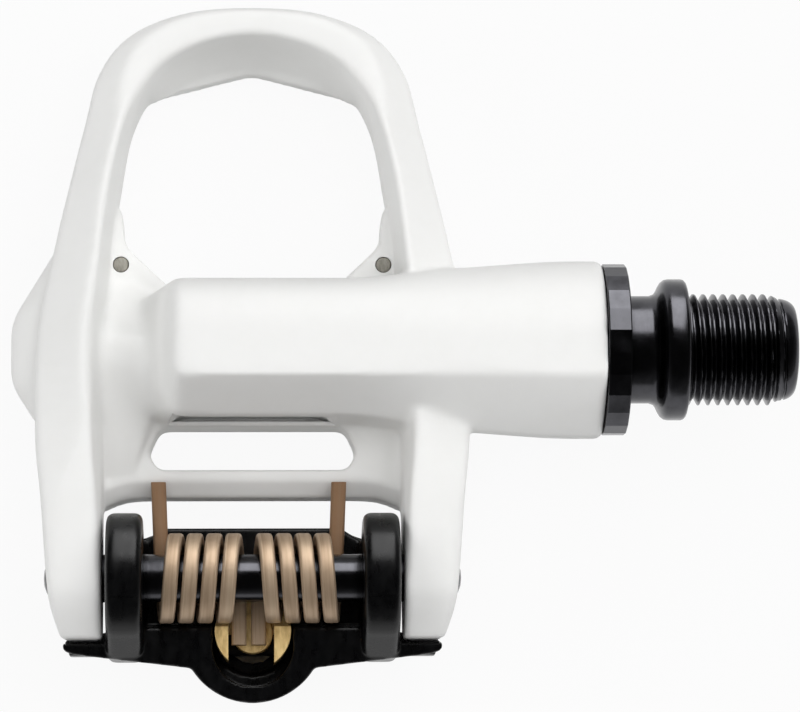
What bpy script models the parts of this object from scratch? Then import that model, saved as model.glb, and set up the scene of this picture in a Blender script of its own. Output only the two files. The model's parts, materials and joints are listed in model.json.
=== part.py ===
"""A clipless road pedal, lying on its shoe side, built as separate pieces.

Metres, +Z up. +X runs along the spindle towards the crank, +Y towards the nose of
the pedal and +Z out of its underside. The pieces are placed from the spindle axis
and the centre line of the cleat. The whole part then stands on the floor, with its
origin at the middle of the bottom of its box.
"""

import math
from typing import NamedTuple

import bmesh
import bpy
from mathutils import Matrix, Vector

# Fits
FIT = 0.0003  # gap between pieces that sit against each other
RUNNING_GAP = 0.0006  # gap between pieces that move past each other
SIDES = 28  # facets of a turned piece
SMALL_SIDES = 16  # facets of a small one

# Barrel of the body, along the spindle
BARREL_END = 0.0443  # crank-side face, from the centre line
BARREL_RADIUS = 0.0110  # round crank-side end
BARREL_HALF_WIDTH = 0.0088  # flat-sided middle
BARREL_CREST = 0.0105  # flat underside, above the axis
BARREL_CREST_HALF = 0.0047  # half width of the flat underside
BARREL_SHOULDER = 0.0030  # height at which the slanted facets end
BARREL_FLAT_FROM = -0.0097  # outboard end of the flat underside
BARREL_TOE = -0.0165  # foot of the outboard slope
BARREL_FLAT_TO = 0.0120  # from here the section turns round
BARREL_ROUND_FROM = 0.0270  # from here it is round
BARREL_POINTS = 32
BARREL_TURN_STEPS = 4  # sections from flat-sided to round
BARREL_SLOPE = ((0.0, 0.10), (0.35, 0.42), (0.75, 0.88), (1.0, 1.0))  # shares of length and height
END_WALL = 0.0052  # flat underside's outboard end to the spindle's outer end

# Platform between the rails
PLATFORM_BOTTOM = -0.0115  # shoe side
PLATFORM_TOP = -0.0059
PLATFORM_HALF_WIDTH = 0.0210  # reaches into the rails
CROSSBAR_REAR = -0.0159  # rear edge, underside
CROSSBAR_DRAFT = 0.0021  # the rear wall leans back this far
CROSSBAR_WIDTH = 0.0014
CORNER_FROM = 0.0159  # where the gussets to the arms begin
CORNER_REACH = 0.0015
SLOT_HALF_WIDTH = 0.0133
SLOT_CHAMFER = 0.0022
LOOP_REAR_HALF = 0.0118  # half width of the loop's straight rear edge
LOOP_HALF_WIDTH = 0.0169
LOOP_CORNER = 0.0055  # length of the slanted rear corners
WEB_LENGTH = 0.0080  # web along the rail, past the corner
WEB_KNEE = 0.6  # share of its length at which the web draws in

# Rails, from the rear arms round the nose
ARM_TAIL = 0.0075  # arm behind the latch pin
ARM_SIDE_GAP = 0.0007  # latch ear to arm
RAIL_TUCK = 0.12  # share of the width by which the outer side draws in below
RAIL_STEPS = 3
NOSE_BOTTOM = -0.0165
LIP_THICKNESS = 0.0028
LIP_APEX = 0.0383
LIP_CORNER_X = 0.0134
LIP_CORNER_Y = 0.0357
NOSE_TIP = 0.0462

# Bulge on the outboard side
BULGE_REACH = 0.0309
BULGE_ROOT = 0.0025  # how far the pad runs into the rail
BULGE_FRONT = 0.0165
BULGE_FLAT_FRONT = 0.0046
BULGE_FLAT_REAR = -0.0031
BULGE_REAR = -0.0110
BULGE_EASE = 0.0007  # rounding of its corners
BULGE_CROWN = 0.0025  # rounding towards its underside
BULGE_BOTTOM = -0.0090
BULGE_TOP = 0.0014

# Wear pins at the rear corners of the loop
WEAR_PIN_RADIUS = 0.0010
WEAR_PIN_X = 0.0169
WEAR_PIN_Y = 0.0121
WEAR_HEAD_RADIUS = 0.0017
WEAR_HEAD_HEIGHT = 0.0008

# Spindle
THREAD_RADIUS = 0.0071
THREAD_DEPTH = 0.0007
THREAD_PITCH = 0.00127
THREAD_TURNS = 10
THREAD_CHAMFER = 0.0012
SPINDLE_NOSE = 0.0009  # plain end past the last ridge
SHOULDER_RING = 0.0004  # plain ring between flange and thread
FLANGE_RADIUS = 0.0090
FLANGE_WIDTH = 0.0040
FLANGE_FILLET = 0.0009
NECK_RADIUS = 0.00685
NECK_LENGTH = 0.0038  # from collar to flange
SOCKET_RADIUS = 0.0046  # 8 mm hexagon, over its corners
SOCKET_DEPTH = 0.0085
SHAFT_RADIUS = 0.0049
JOURNAL_RADIUS = 0.0030
JOURNAL_LENGTH = 0.0130

# Cage nut and seal
COLLAR_RADIUS = 0.0109
COLLAR_WIDTH = 0.0026
COLLAR_SIDES = 24
SHANK_RADIUS = 0.0086
SHANK_LENGTH = 0.0080
SEAL_WIDTH = 0.0012
SEAL_WALL = 0.0011

# Bearings
SHELL_RADIUS = 0.0072
SHELL_WALL = 0.0005
NEEDLE_LENGTH = 0.0120
NEEDLES = 12
BEARING_WIDTH = 0.0050
RACE_WALL = 0.0010
BALLS = 7
CAGE_WALL = 0.0004
BORE_FLOOR_GAP = 0.0010  # spindle end to the blind end of the bore

# Lock nut on the spindle's outer end
WASHER_RADIUS = 0.0050
WASHER_THICKNESS = 0.0010
LOCK_NUT_RADIUS = 0.0056
LOCK_NUT_WIDTH = 0.0034

# Latch and its pin
PIN_Y = -0.0291
PIN_RADIUS = 0.0030
PIN_PROUD = 0.0005  # domed ends past the arms
PIN_DOME = 0.0015  # length of a domed end
ARM_OUTER_AT_PIN = 0.0259
EAR_INNER = 0.0138
EAR_WIDTH = 0.0048
EAR_RADIUS = 0.0082
EAR_TAIL = 0.0098  # ear behind the latch pin
EAR_POINTS = 12  # points round the ear
EAR_START = -60  # degrees from the front, below the pin
EAR_TURN = 220  # degrees round the pin
EAR_BEVEL = 0.0007
JAW_TOP = -0.0063
JAW_BOTTOM = -0.0108
JAW_FRONT = -0.0220
JAW_FRONT_HALF = 0.0112
JAW_CHAMFER = 0.0016
HOOK_BOTTOM = -0.0165
HOOK_LIP = 0.0025
HOOK_FRONT = -0.0214
HOOK_WALL_FRONT = -0.0250
HOOK_WALL = 0.0040
HOOK_HALF = 0.0160
TAIL_TOP = -0.0018
TAIL_BOTTOM = -0.0108
WING_HALF = 0.0240
WING_FRONT_GAP = 0.0005
WING_DEPTH = 0.0013
TAIL_ROOT_HALF = 0.0079
TAIL_ROOT_DROP = 0.0038
BOSS_Y = -0.0355
BOSS_WALL = 0.0040
BOSS_BOTTOM = -0.0130
POCKET_FLOOR = -0.0108
POCKET_SHIFT = 0.0019

# Springs
SPRING_TURNS = 4
SPRING_PITCH = 0.00243
SPRING_POINTS = 10  # points in one turn
WIRE_WIDTH = 0.0019  # along the coil's axis
WIRE_DEPTH = 0.0018  # across it
WIRE_BEVEL = 0.0003
COIL_RADIUS = 0.00475  # to the middle of the wire
INNER_LEG_X = 0.00175
INNER_LEG_LENGTH = 0.0080
OUTER_LEG_LENGTH = 0.0136
OUTER_LEG_SPLAY = 0.0005
LEG_SHARES = (1.0, 0.4)  # points along a leg, from its tip
SPRING_PLAY = 0.0010  # the crank-side spring has slid this far towards the other

# Tension screw and nut
NUT_RADIUS = 0.0048
NUT_FLOOR = 0.0022
NUT_CHEEK_TOP = -0.0022
NUT_SLOT_HALF = 0.0030
SCREW_RADIUS = 0.0021
SCREW_HEAD_RADIUS = 0.0034
SCREW_HEAD_HEIGHT = 0.0024
SCREW_SOCKET_RADIUS = 0.00173
SCREW_SOCKET_DEPTH = 0.0014
CLIP_RADIUS = 0.0035
CLIP_THICKNESS = 0.0007

# Places worked out from the sizes above
RAIL_BOTTOM = PLATFORM_BOTTOM + FIT
EAR_OUTER = EAR_INNER + EAR_WIDTH
ARM_INNER = EAR_OUTER + ARM_SIDE_GAP
BORE_RADIUS = SHELL_RADIUS + FIT
COUNTERBORE_RADIUS = SHANK_RADIUS + FIT
COLLAR_FROM = BARREL_END + FIT
COLLAR_TO = COLLAR_FROM + COLLAR_WIDTH
FLANGE_FROM = COLLAR_TO + NECK_LENGTH
FLANGE_TO = FLANGE_FROM + FLANGE_WIDTH
THREAD_FROM = FLANGE_TO + SHOULDER_RING
SPINDLE_END = THREAD_FROM + THREAD_TURNS * THREAD_PITCH + SPINDLE_NOSE
NECK_BORE = NECK_RADIUS + FIT
SHANK_END = BARREL_END - SHANK_LENGTH
NEEDLE_TO = SHANK_END - 2 * RUNNING_GAP
NEEDLE_FROM = NEEDLE_TO - NEEDLE_LENGTH
JOURNAL_END = BARREL_FLAT_FROM + END_WALL
JOURNAL_FROM = JOURNAL_END + JOURNAL_LENGTH
BORE_END = JOURNAL_END - BORE_FLOOR_GAP
BEARING_TO = JOURNAL_FROM - FIT
BEARING_FROM = BEARING_TO - BEARING_WIDTH
WASHER_TO = BEARING_FROM - FIT
WASHER_FROM = WASHER_TO - WASHER_THICKNESS
LOCK_NUT_TO = WASHER_FROM - FIT
LOCK_NUT_FROM = LOCK_NUT_TO - LOCK_NUT_WIDTH
COIL_OUTSIDE = COIL_RADIUS + WIRE_DEPTH / 2
LEG_UNDERSIDE = -COIL_OUTSIDE
SPRING_OUTER_X = INNER_LEG_X + SPRING_TURNS * SPRING_PITCH
POCKET_RADIUS = NUT_RADIUS + FIT
BOSS_RADIUS = POCKET_RADIUS + BOSS_WALL
NUT_TOP = LEG_UNDERSIDE - FIT
NUT_BOTTOM = NUT_TOP - NUT_FLOOR
CLIP_FROM = POCKET_FLOOR + FIT
CLIP_TO = CLIP_FROM + CLIP_THICKNESS
SCREW_TIP = NUT_TOP - FIT
SCREW_HEAD_TOP = BOSS_BOTTOM - FIT
SCREW_HEAD_BOTTOM = SCREW_HEAD_TOP - SCREW_HEAD_HEIGHT


class RailSection(NamedTuple):
    """One section of a rail at +X. Shares run across its width, from the outer side."""

    outer: tuple  # x and y of the outer side
    inner: tuple  # x and y of the inner side
    bottom: float
    top: float
    slope: float  # height of the outer slope
    ridge: float  # share at which the outer slope reaches the top
    flat: float  # share at which the inner slope begins
    fall: float  # height of the inner slope


# Rail sections, from the end of a rear arm to the tip of the nose
ARM_END = PIN_Y - ARM_TAIL
ARM_BEND = PIN_Y - ARM_TAIL / 2
RAIL_SECTIONS = (
    RailSection((0.0242, ARM_END), (ARM_INNER, ARM_END), -0.0050, 0.0008, 0.0012, 0.16, 0.90, 0.0010),
    RailSection((0.0254, ARM_BEND), (ARM_INNER, ARM_BEND), -0.0060, 0.0038, 0.0012, 0.16, 0.90, 0.0010),
    RailSection((ARM_OUTER_AT_PIN, PIN_Y), (ARM_INNER, PIN_Y), -0.0062, 0.0050, 0.0012, 0.16, 0.92, 0.0008),
    RailSection((0.0267, -0.0190), (ARM_INNER, -0.0190), -0.0095, 0.0052, 0.0014, 0.18, 0.92, 0.0008),
    RailSection((0.0275, -0.0110), (ARM_INNER, -0.0110), RAIL_BOTTOM, 0.0051, 0.0022, 0.30, 0.84, 0.0030),
    RailSection((0.0274, 0.0020), (0.0189, 0.0020), RAIL_BOTTOM, 0.0048, 0.0036, 0.46, 0.62, 0.0070),
    RailSection((0.0254, 0.0140), (0.0182, 0.0130), RAIL_BOTTOM, 0.0036, 0.0036, 0.48, 0.68, 0.0060),
    RailSection((0.0235, 0.0220), (0.0170, 0.0220), RAIL_BOTTOM, 0.0018, 0.0034, 0.50, 0.84, 0.0024),
    RailSection((0.0217, 0.0300), (0.0155, 0.0296), -0.0134, -0.0004, 0.0032, 0.48, 0.88, 0.0014),
    RailSection((0.0199, 0.0372), (0.0138, 0.0348), -0.0152, -0.0020, 0.0030, 0.42, 0.86, 0.0014),
    RailSection((0.0159, 0.0424), (0.0112, 0.0386), -0.0162, -0.0029, 0.0028, 0.34, 0.82, 0.0016),
    RailSection((0.0088, 0.0454), (0.0062, 0.0410), NOSE_BOTTOM, -0.0034, 0.0026, 0.28, 0.80, 0.0018),
    RailSection((0.0000, NOSE_TIP), (0.0000, 0.0418), NOSE_BOTTOM, -0.0036, 0.0026, 0.26, 0.80, 0.0018),
)
LIP_ROOTS = RAIL_SECTIONS[-4:-1]  # sections that the nose lip grows from

# Colour, roughness and metallic value of each finish
FINISHES = {
    "white_composite": ((0.86, 0.86, 0.84), 0.42, 0.0),
    "black_steel": ((0.020, 0.020, 0.023), 0.28, 0.7),
    "black_composite": ((0.018, 0.018, 0.019), 0.38, 0.0),
    "bronzed_spring": ((0.33, 0.24, 0.15), 0.30, 1.0),
    "brass": ((0.60, 0.43, 0.17), 0.28, 1.0),
    "bright_steel": ((0.55, 0.54, 0.52), 0.32, 1.0),
    "seal_rubber": ((0.015, 0.015, 0.015), 0.70, 0.0),
}


def clear_scene():
    for obj in list(bpy.data.objects):
        bpy.data.objects.remove(obj)


def new_collection(name):
    collection = bpy.data.collections.new(name)
    bpy.context.scene.collection.children.link(collection)
    return collection


def make_materials():
    made = {}
    for name, (colour, roughness, metallic) in FINISHES.items():
        material = bpy.data.materials.new(name)
        material.use_nodes = True
        shader = material.node_tree.nodes["Principled BSDF"]
        shader.inputs["Base Color"].default_value = (*colour, 1.0)
        shader.inputs["Roughness"].default_value = roughness
        shader.inputs["Metallic"].default_value = metallic
        made[name] = material
    return made


clear_scene()
PARTS = new_collection("clipless_pedal")
CUTTERS = new_collection("cutters")
MATERIALS = make_materials()
ROOT = bpy.data.objects.new("pedal_frame", None)
PARTS.objects.link(ROOT)


def place(name, data, collection=CUTTERS):
    """A new object under the root. Helpers stay hidden until they are finished as a part."""
    obj = bpy.data.objects.new(name, data)
    collection.objects.link(obj)
    obj.parent = ROOT
    hide(obj)
    return obj


def hide(obj):
    obj.hide_render = True
    obj.display_type = "WIRE"


def finish(obj, name, finish_name, smooth_angle=35):
    """Turns a helper into a named part with its material."""
    obj.name = name
    obj.hide_render = False
    obj.display_type = "TEXTURED"
    CUTTERS.objects.unlink(obj)
    PARTS.objects.link(obj)
    obj.data.materials.append(MATERIALS[finish_name])
    if obj.type == "MESH":
        obj.data.shade_smooth()
        obj.data.set_sharp_from_angle(angle=math.radians(smooth_angle))
    return obj


def boolean(obj, other, operation):
    modifier = obj.modifiers.new(other.name, "BOOLEAN")
    modifier.operation = operation
    modifier.object = other
    hide(other)


def join(obj, *others):
    for other in others:
        boolean(obj, other, "UNION")


def cut(obj, *others):
    for other in others:
        boolean(obj, other, "DIFFERENCE")


def mesh_from(bm, name):
    bmesh.ops.recalc_face_normals(bm, faces=bm.faces)
    mesh = bpy.data.meshes.new(name)
    bm.to_mesh(mesh)
    bm.free()
    return mesh


def loft(name, rings):
    """A closed skin over rings of equally many points, capped at both ends."""
    bm = bmesh.new()
    loops = [[bm.verts.new(point) for point in ring] for ring in rings]
    for here, there in zip(loops, loops[1:]):
        for i in range(len(here)):
            bm.faces.new((here[i - 1], here[i], there[i], there[i - 1]))
    bm.faces.new(loops[0])
    bm.faces.new(loops[-1])
    return place(name, mesh_from(bm, name))


def prism(name, outline, bottom, top):
    """An outline in X and Y, carried from one height to another."""
    return loft(name, [[(x, y, z) for x, y in outline] for z in (bottom, top)])


def box(name, low, high):
    bm = bmesh.new()
    bmesh.ops.create_cube(bm, size=1.0)
    for vert in bm.verts:
        vert.co = [low[i] + (vert.co[i] + 0.5) * (high[i] - low[i]) for i in range(3)]
    return place(name, mesh_from(bm, name))


def mirrored(half):
    """A half outline at +X, completed by its mirror image."""
    return [*half, *((-x, y) for x, y in reversed(half))]


def turned(name, profile, closed=False, sides=SIDES, axis="X", centre=(0.0, 0.0)):
    """A profile of (place along the axis, radius) turned round X or Z.

    The outer side runs from the far end to the near one. A closed profile is a ring.
    """
    mesh = bpy.data.meshes.new(name)
    points = [(radius, 0.0, along) for along, radius in profile]
    edges = [(i, i + 1) for i in range(len(points) - 1)]
    if closed:
        edges.append((len(points) - 1, 0))
    mesh.from_pydata(points, edges, [])
    obj = place(name, mesh)
    screw = obj.modifiers.new("turn", "SCREW")
    screw.steps = screw.render_steps = sides
    screw.use_merge_vertices = True
    screw.merge_threshold = 1e-6
    if axis == "X":
        obj.rotation_euler = (0.0, math.pi / 2, 0.0)
        obj.location = (0.0, centre[0], centre[1])
    else:
        obj.location = (centre[0], centre[1], 0.0)
    return obj


def solid_profile(steps):
    """Steps of (from, to, radius), listed from the far end, as a closed-ended profile."""
    points = [(steps[0][1], 0.0)]
    for start, end, radius in steps:
        points += [(end, radius), (start, radius)]
    points.append((steps[-1][0], 0.0))
    return points


def rod(name, start, end, radius, **options):
    return turned(name, solid_profile([(start, end, radius)]), **options)


def ring(name, start, end, inner, outer, **options):
    profile = [(end, outer), (start, outer), (start, inner), (end, inner)]
    return turned(name, profile, closed=True, **options)


def hexagon(name, start, end, radius, **options):
    return rod(name, start, end, radius, sides=6, **options)


def bevel(obj, width, angle=40):
    modifier = obj.modifiers.new("edges", "BEVEL")
    modifier.width = width
    modifier.segments = 1
    modifier.limit_method = "ANGLE"
    modifier.angle_limit = math.radians(angle)


def smooth_through(rows, steps):
    """Rows of numbers, with more rows on a smooth curve between them."""
    padded = [rows[0], *rows, rows[-1]]
    made = []
    for before, start, end, after in zip(padded, padded[1:], padded[2:], padded[3:]):
        for step in range(steps):
            t = step / steps
            made.append(
                [
                    b + t * (c - a) / 2 + t * t * (a - 2.5 * b + 2 * c - d / 2)
                    + t**3 * (1.5 * (b - c) + (d - a) / 2)
                    for a, b, c, d in zip(before, start, end, after)
                ]
            )
    made.append(list(rows[-1]))
    return made


def rail_ring(row):
    """A rail's section as points: drawn-in outer side, slope, ridge, inner slope and side."""
    outer_x, outer_y, inner_x, inner_y, bottom, top, slope, ridge, flat, fall = row
    outer = Vector((outer_x, outer_y))
    across = Vector((inner_x, inner_y)) - outer
    section = (
        (RAIL_TUCK, bottom),
        (0.0, top - slope),
        (ridge, top),
        (flat, top),
        (1.0, top - fall),
        (1.0, bottom),
    )
    return [(*(outer + across * share), z) for share, z in section]


def rails():
    """Both rails and the nose, as one skin over sections and their mirror images."""
    half = [(*section.outer, *section.inner, *section[2:]) for section in RAIL_SECTIONS]
    other = [(-row[0], row[1], -row[2], *row[3:]) for row in reversed(half[:-1])]
    rows = smooth_through([*half, *other], RAIL_STEPS)
    return loft("rails", [rail_ring(row) for row in rows])


def barrel_reach(angle):
    """Distance from the axis to the flat-sided section, in one direction."""
    across, up = abs(math.cos(angle)), math.sin(angle)
    slant = Vector((BARREL_CREST - BARREL_SHOULDER, BARREL_HALF_WIDTH - BARREL_CREST_HALF)).normalized()
    sides = (
        (BARREL_HALF_WIDTH, across),
        (slant.dot((BARREL_HALF_WIDTH, BARREL_SHOULDER)), slant.dot((across, up))),
        (BARREL_CREST, up),
        (BARREL_RADIUS, -up),
    )
    return min(distance / share for distance, share in sides if share > 0)


def barrel_ring(x, height, turn):
    """One section under the flat underside: turn goes from flat-sided, 0, to round, 1."""
    points = []
    for i in range(BARREL_POINTS):
        angle = 2 * math.pi * (i + 0.5) / BARREL_POINTS
        reach = barrel_reach(angle) * (1 - turn) + BARREL_RADIUS * turn
        z = min(reach * math.sin(angle), BARREL_CREST)
        lowered = PLATFORM_TOP + (z - PLATFORM_TOP) * height if z > PLATFORM_TOP else z
        points.append((x, reach * math.cos(angle), lowered))
    return points


def barrel():
    """Flat-sided tube with a sloped outboard end, turning round towards the crank."""
    slope = BARREL_FLAT_FROM - BARREL_TOE
    rounding = BARREL_ROUND_FROM - BARREL_FLAT_TO
    rings = [barrel_ring(BARREL_TOE + share * slope, height, 0.0) for share, height in BARREL_SLOPE]
    for step in range(BARREL_TURN_STEPS + 1):
        turn = step / BARREL_TURN_STEPS
        rings.append(barrel_ring(BARREL_FLAT_TO + turn * rounding, 1.0, turn))
    rings.append(barrel_ring(BARREL_END, 1.0, 1.0))
    return loft("barrel", rings)


def platform():
    loop_rear = BARREL_HALF_WIDTH - FIT
    corner = loop_rear + LOOP_CORNER
    front = [
        (LOOP_REAR_HALF, loop_rear),
        (LOOP_HALF_WIDTH, corner),
        (LOOP_HALF_WIDTH + FIT, corner + WEB_KNEE * WEB_LENGTH),
        (PLATFORM_HALF_WIDTH, corner + WEB_LENGTH),
    ]
    rings = []
    for z, rear in ((PLATFORM_BOTTOM, CROSSBAR_REAR - CROSSBAR_DRAFT), (PLATFORM_TOP, CROSSBAR_REAR)):
        gusset = rear - CORNER_REACH
        half = [*front, (PLATFORM_HALF_WIDTH, gusset), (ARM_INNER, gusset), (CORNER_FROM, rear)]
        rings.append([(x, y, z) for x, y in mirrored(half)])
    return loft("platform", rings)


def slot_cutter():
    front = -BARREL_HALF_WIDTH + SLOT_CHAMFER / 2
    rear = CROSSBAR_REAR + CROSSBAR_WIDTH
    half = [
        (SLOT_HALF_WIDTH - SLOT_CHAMFER, front),
        (SLOT_HALF_WIDTH, rear + SLOT_CHAMFER),
        (SLOT_HALF_WIDTH - SLOT_CHAMFER / 2, rear),
    ]
    past = 2 * FIT
    return prism("slot", mirrored(half), PLATFORM_BOTTOM - past, PLATFORM_TOP + past)


def nose_lip():
    """Plate under the nose that holds the front of a cleat, with a slightly pointed edge."""
    roots = [(Vector(section.outer) + Vector(section.inner)) / 2 for section in reversed(LIP_ROOTS)]
    half = [*((root.x, root.y) for root in roots), (LIP_CORNER_X, LIP_CORNER_Y)]
    outline = [(0.0, LIP_APEX), *((-x, y) for x, y in reversed(half)), *half]
    return prism("nose_lip", outline, NOSE_BOTTOM + FIT, NOSE_BOTTOM + LIP_THICKNESS)


def bulge_ring(z, inset):
    root = BULGE_ROOT - ARM_OUTER_AT_PIN
    reach = inset - BULGE_REACH
    outline = [
        (root, BULGE_FRONT),
        (reach + BULGE_EASE, BULGE_FLAT_FRONT + 3 * BULGE_EASE),
        (reach, BULGE_FLAT_FRONT),
        (reach, BULGE_FLAT_REAR),
        (reach + BULGE_EASE, BULGE_FLAT_REAR - 3 * BULGE_EASE),
        (root, BULGE_REAR),
    ]
    return [(x, y, z) for x, y in outline]


def bulge():
    """Rounded pad on the outboard side, level with the barrel."""
    levels = (
        (BULGE_BOTTOM, BULGE_EASE),
        (BULGE_BOTTOM + BULGE_CROWN, 0.0),
        (BULGE_TOP - BULGE_CROWN, 0.0),
        (BULGE_TOP - BULGE_CROWN / 3, BULGE_CROWN / 3),
        (BULGE_TOP, BULGE_CROWN),
    )
    return loft("bulge", [bulge_ring(z, inset) for z, inset in levels])


def axle_bore():
    steps = [
        (SHANK_END - FIT, BARREL_END + FIT, COUNTERBORE_RADIUS),
        (BORE_END, SHANK_END - FIT, BORE_RADIUS),
    ]
    return turned("axle_bore", solid_profile(steps))


def pin_bore(reach):
    return rod("pin_bore", -reach, reach, PIN_RADIUS + FIT, centre=(PIN_Y, 0.0))


def wear_pin_hole(side):
    """Hole through the platform, with a recess for the pin's head on the shoe side."""
    seat = PLATFORM_BOTTOM + WEAR_HEAD_HEIGHT + FIT
    steps = [
        (seat, PLATFORM_TOP + FIT, WEAR_PIN_RADIUS + FIT),
        (seat - 3 * WEAR_HEAD_HEIGHT, seat, WEAR_HEAD_RADIUS + FIT),
    ]
    where = (side * WEAR_PIN_X, WEAR_PIN_Y)
    return turned("wear_pin_hole", solid_profile(steps), axis="Z", centre=where, sides=SMALL_SIDES)


def pedal_body():
    body = rails()
    plate = platform()
    cut(plate, slot_cutter())
    join(body, plate, barrel(), bulge(), nose_lip())
    cut(body, axle_bore(), pin_bore(2 * ARM_OUTER_AT_PIN))
    for side in (-1, 1):
        cut(body, wear_pin_hole(side))
    return finish(body, "pedal_body", "white_composite")


def wear_pin(name, side):
    head_top = PLATFORM_BOTTOM + WEAR_HEAD_HEIGHT
    steps = [
        (head_top, PLATFORM_TOP, WEAR_PIN_RADIUS),
        (PLATFORM_BOTTOM, head_top, WEAR_HEAD_RADIUS),
    ]
    where = (side * WEAR_PIN_X, WEAR_PIN_Y)
    pin = turned(name, solid_profile(steps), axis="Z", centre=where, sides=SMALL_SIDES)
    return finish(pin, name, "bright_steel")


def thread_profile():
    """Ridges of the thread, listed from the free end towards the flange."""
    points = []
    root = THREAD_RADIUS - THREAD_DEPTH
    for turn in range(THREAD_TURNS, 0, -1):
        crest = THREAD_FROM + turn * THREAD_PITCH
        from_end = SPINDLE_END - crest
        limit = THREAD_RADIUS - max(THREAD_CHAMFER - from_end, 0.0)
        points += [(crest, max(limit, root)), (crest - THREAD_PITCH / 2, root)]
    return points


def spindle():
    root = THREAD_RADIUS - THREAD_DEPTH
    shoulder = THREAD_RADIUS + FIT
    profile = [(SPINDLE_END, 0.0), (SPINDLE_END, root - FIT)]
    profile += thread_profile()
    profile += [
        (THREAD_FROM, shoulder),
        (FLANGE_TO, shoulder),
        (FLANGE_TO, FLANGE_RADIUS),
        (FLANGE_FROM + FLANGE_FILLET, FLANGE_RADIUS),
        (FLANGE_FROM + FLANGE_FILLET / 2, FLANGE_RADIUS - FLANGE_FILLET),
        (FLANGE_FROM, NECK_RADIUS),
        (SHANK_END, NECK_RADIUS),
        (SHANK_END, SHAFT_RADIUS),
        (JOURNAL_FROM, SHAFT_RADIUS),
        (JOURNAL_FROM, JOURNAL_RADIUS),
        (JOURNAL_END, JOURNAL_RADIUS),
        (JOURNAL_END, 0.0),
    ]
    axle = turned("spindle", profile)
    cut(axle, hexagon("axle_socket", SPINDLE_END - SOCKET_DEPTH, SPINDLE_END + FIT, SOCKET_RADIUS))
    return finish(axle, "spindle", "black_steel")


def cage_nut():
    nut = rod("cage_nut", COLLAR_FROM, COLLAR_TO, COLLAR_RADIUS, sides=COLLAR_SIDES)
    join(nut, rod("cage_shank", SHANK_END, COLLAR_FROM + COLLAR_WIDTH / 2, SHANK_RADIUS))
    recess = NECK_BORE + SEAL_WALL + FIT
    seal_from = COLLAR_TO - SEAL_WIDTH - FIT
    bore = turned(
        "cage_bore",
        solid_profile(
            [
                (seal_from, COLLAR_TO + FIT, recess),
                (SHANK_END - FIT, seal_from, NECK_BORE),
            ]
        ),
    )
    cut(nut, bore)
    return finish(nut, "cage_nut", "black_steel")


def axle_seal():
    seal = ring(
        "axle_seal", COLLAR_TO - SEAL_WIDTH, COLLAR_TO, NECK_BORE, NECK_BORE + SEAL_WALL
    )
    return finish(seal, "axle_seal", "seal_rubber")


def needle_shell():
    shell = ring(
        "needle_shell", NEEDLE_FROM, NEEDLE_TO, SHELL_RADIUS - SHELL_WALL, SHELL_RADIUS
    )
    return finish(shell, "needle_shell", "bright_steel")


def needle_cage():
    """Cage rings and rollers as one piece, running between the shaft and the shell."""
    inner = SHAFT_RADIUS + FIT
    outer = SHELL_RADIUS - SHELL_WALL - FIT
    middle = (inner + outer) / 2
    cage = ring("needle_cage", NEEDLE_FROM, NEEDLE_TO, middle - CAGE_WALL / 2, middle + CAGE_WALL / 2)
    for i in range(NEEDLES):
        angle = 2 * math.pi * i / NEEDLES
        roller = rod(
            "needle_roller",
            NEEDLE_FROM + RUNNING_GAP,
            NEEDLE_TO - RUNNING_GAP,
            (outer - inner) / 2,
            centre=(middle * math.cos(angle), middle * math.sin(angle)),
            sides=8,
        )
        join(cage, roller)
    return finish(cage, "needle_cage", "bright_steel")


def bearing_outer_race():
    race = ring(
        "bearing_outer_race", BEARING_FROM, BEARING_TO, SHELL_RADIUS - RACE_WALL, SHELL_RADIUS
    )
    return finish(race, "bearing_outer_race", "bright_steel")


def bearing_inner_race():
    inner = JOURNAL_RADIUS + FIT
    race = ring("bearing_inner_race", BEARING_FROM, BEARING_TO, inner, inner + RACE_WALL)
    return finish(race, "bearing_inner_race", "bright_steel")


def ball_cage():
    """Cage ring and balls as one piece, running between the two races."""
    inner = JOURNAL_RADIUS + FIT + RACE_WALL + FIT
    outer = SHELL_RADIUS - RACE_WALL - FIT
    middle = (inner + outer) / 2
    centre_x = (BEARING_FROM + BEARING_TO) / 2
    half = (outer - inner) / 4
    cage = ring(
        "ball_cage", centre_x - half, centre_x + half, middle - CAGE_WALL / 2, middle + CAGE_WALL / 2
    )
    for i in range(BALLS):
        angle = 2 * math.pi * i / BALLS
        bm = bmesh.new()
        bmesh.ops.create_uvsphere(bm, u_segments=10, v_segments=6, radius=(outer - inner) / 2)
        ball = place("bearing_ball", mesh_from(bm, "bearing_ball"))
        ball.location = (centre_x, middle * math.cos(angle), middle * math.sin(angle))
        join(cage, ball)
    return finish(cage, "ball_cage", "bright_steel")


def lock_washer():
    washer = ring("lock_washer", WASHER_FROM, WASHER_TO, JOURNAL_RADIUS + FIT, WASHER_RADIUS)
    return finish(washer, "lock_washer", "bright_steel")


def lock_nut():
    nut = hexagon("lock_nut", LOCK_NUT_FROM, LOCK_NUT_TO, LOCK_NUT_RADIUS)
    cut(nut, rod("lock_nut_bore", LOCK_NUT_FROM - FIT, LOCK_NUT_TO + FIT, JOURNAL_RADIUS + FIT))
    return finish(nut, "lock_nut", "bright_steel")


def latch_tail():
    front = PIN_Y - ARM_TAIL - WING_FRONT_GAP
    wing_rear = front - WING_DEPTH
    root_rear = wing_rear - TAIL_ROOT_DROP / 2
    half = [
        (EAR_OUTER, front + ARM_TAIL / 3),
        (EAR_OUTER, front),
        (WING_HALF, front),
        (WING_HALF - FIT, wing_rear),
        (TAIL_ROOT_HALF, root_rear),
    ]
    return prism("latch_tail", mirrored(half), TAIL_BOTTOM, TAIL_TOP)


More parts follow.
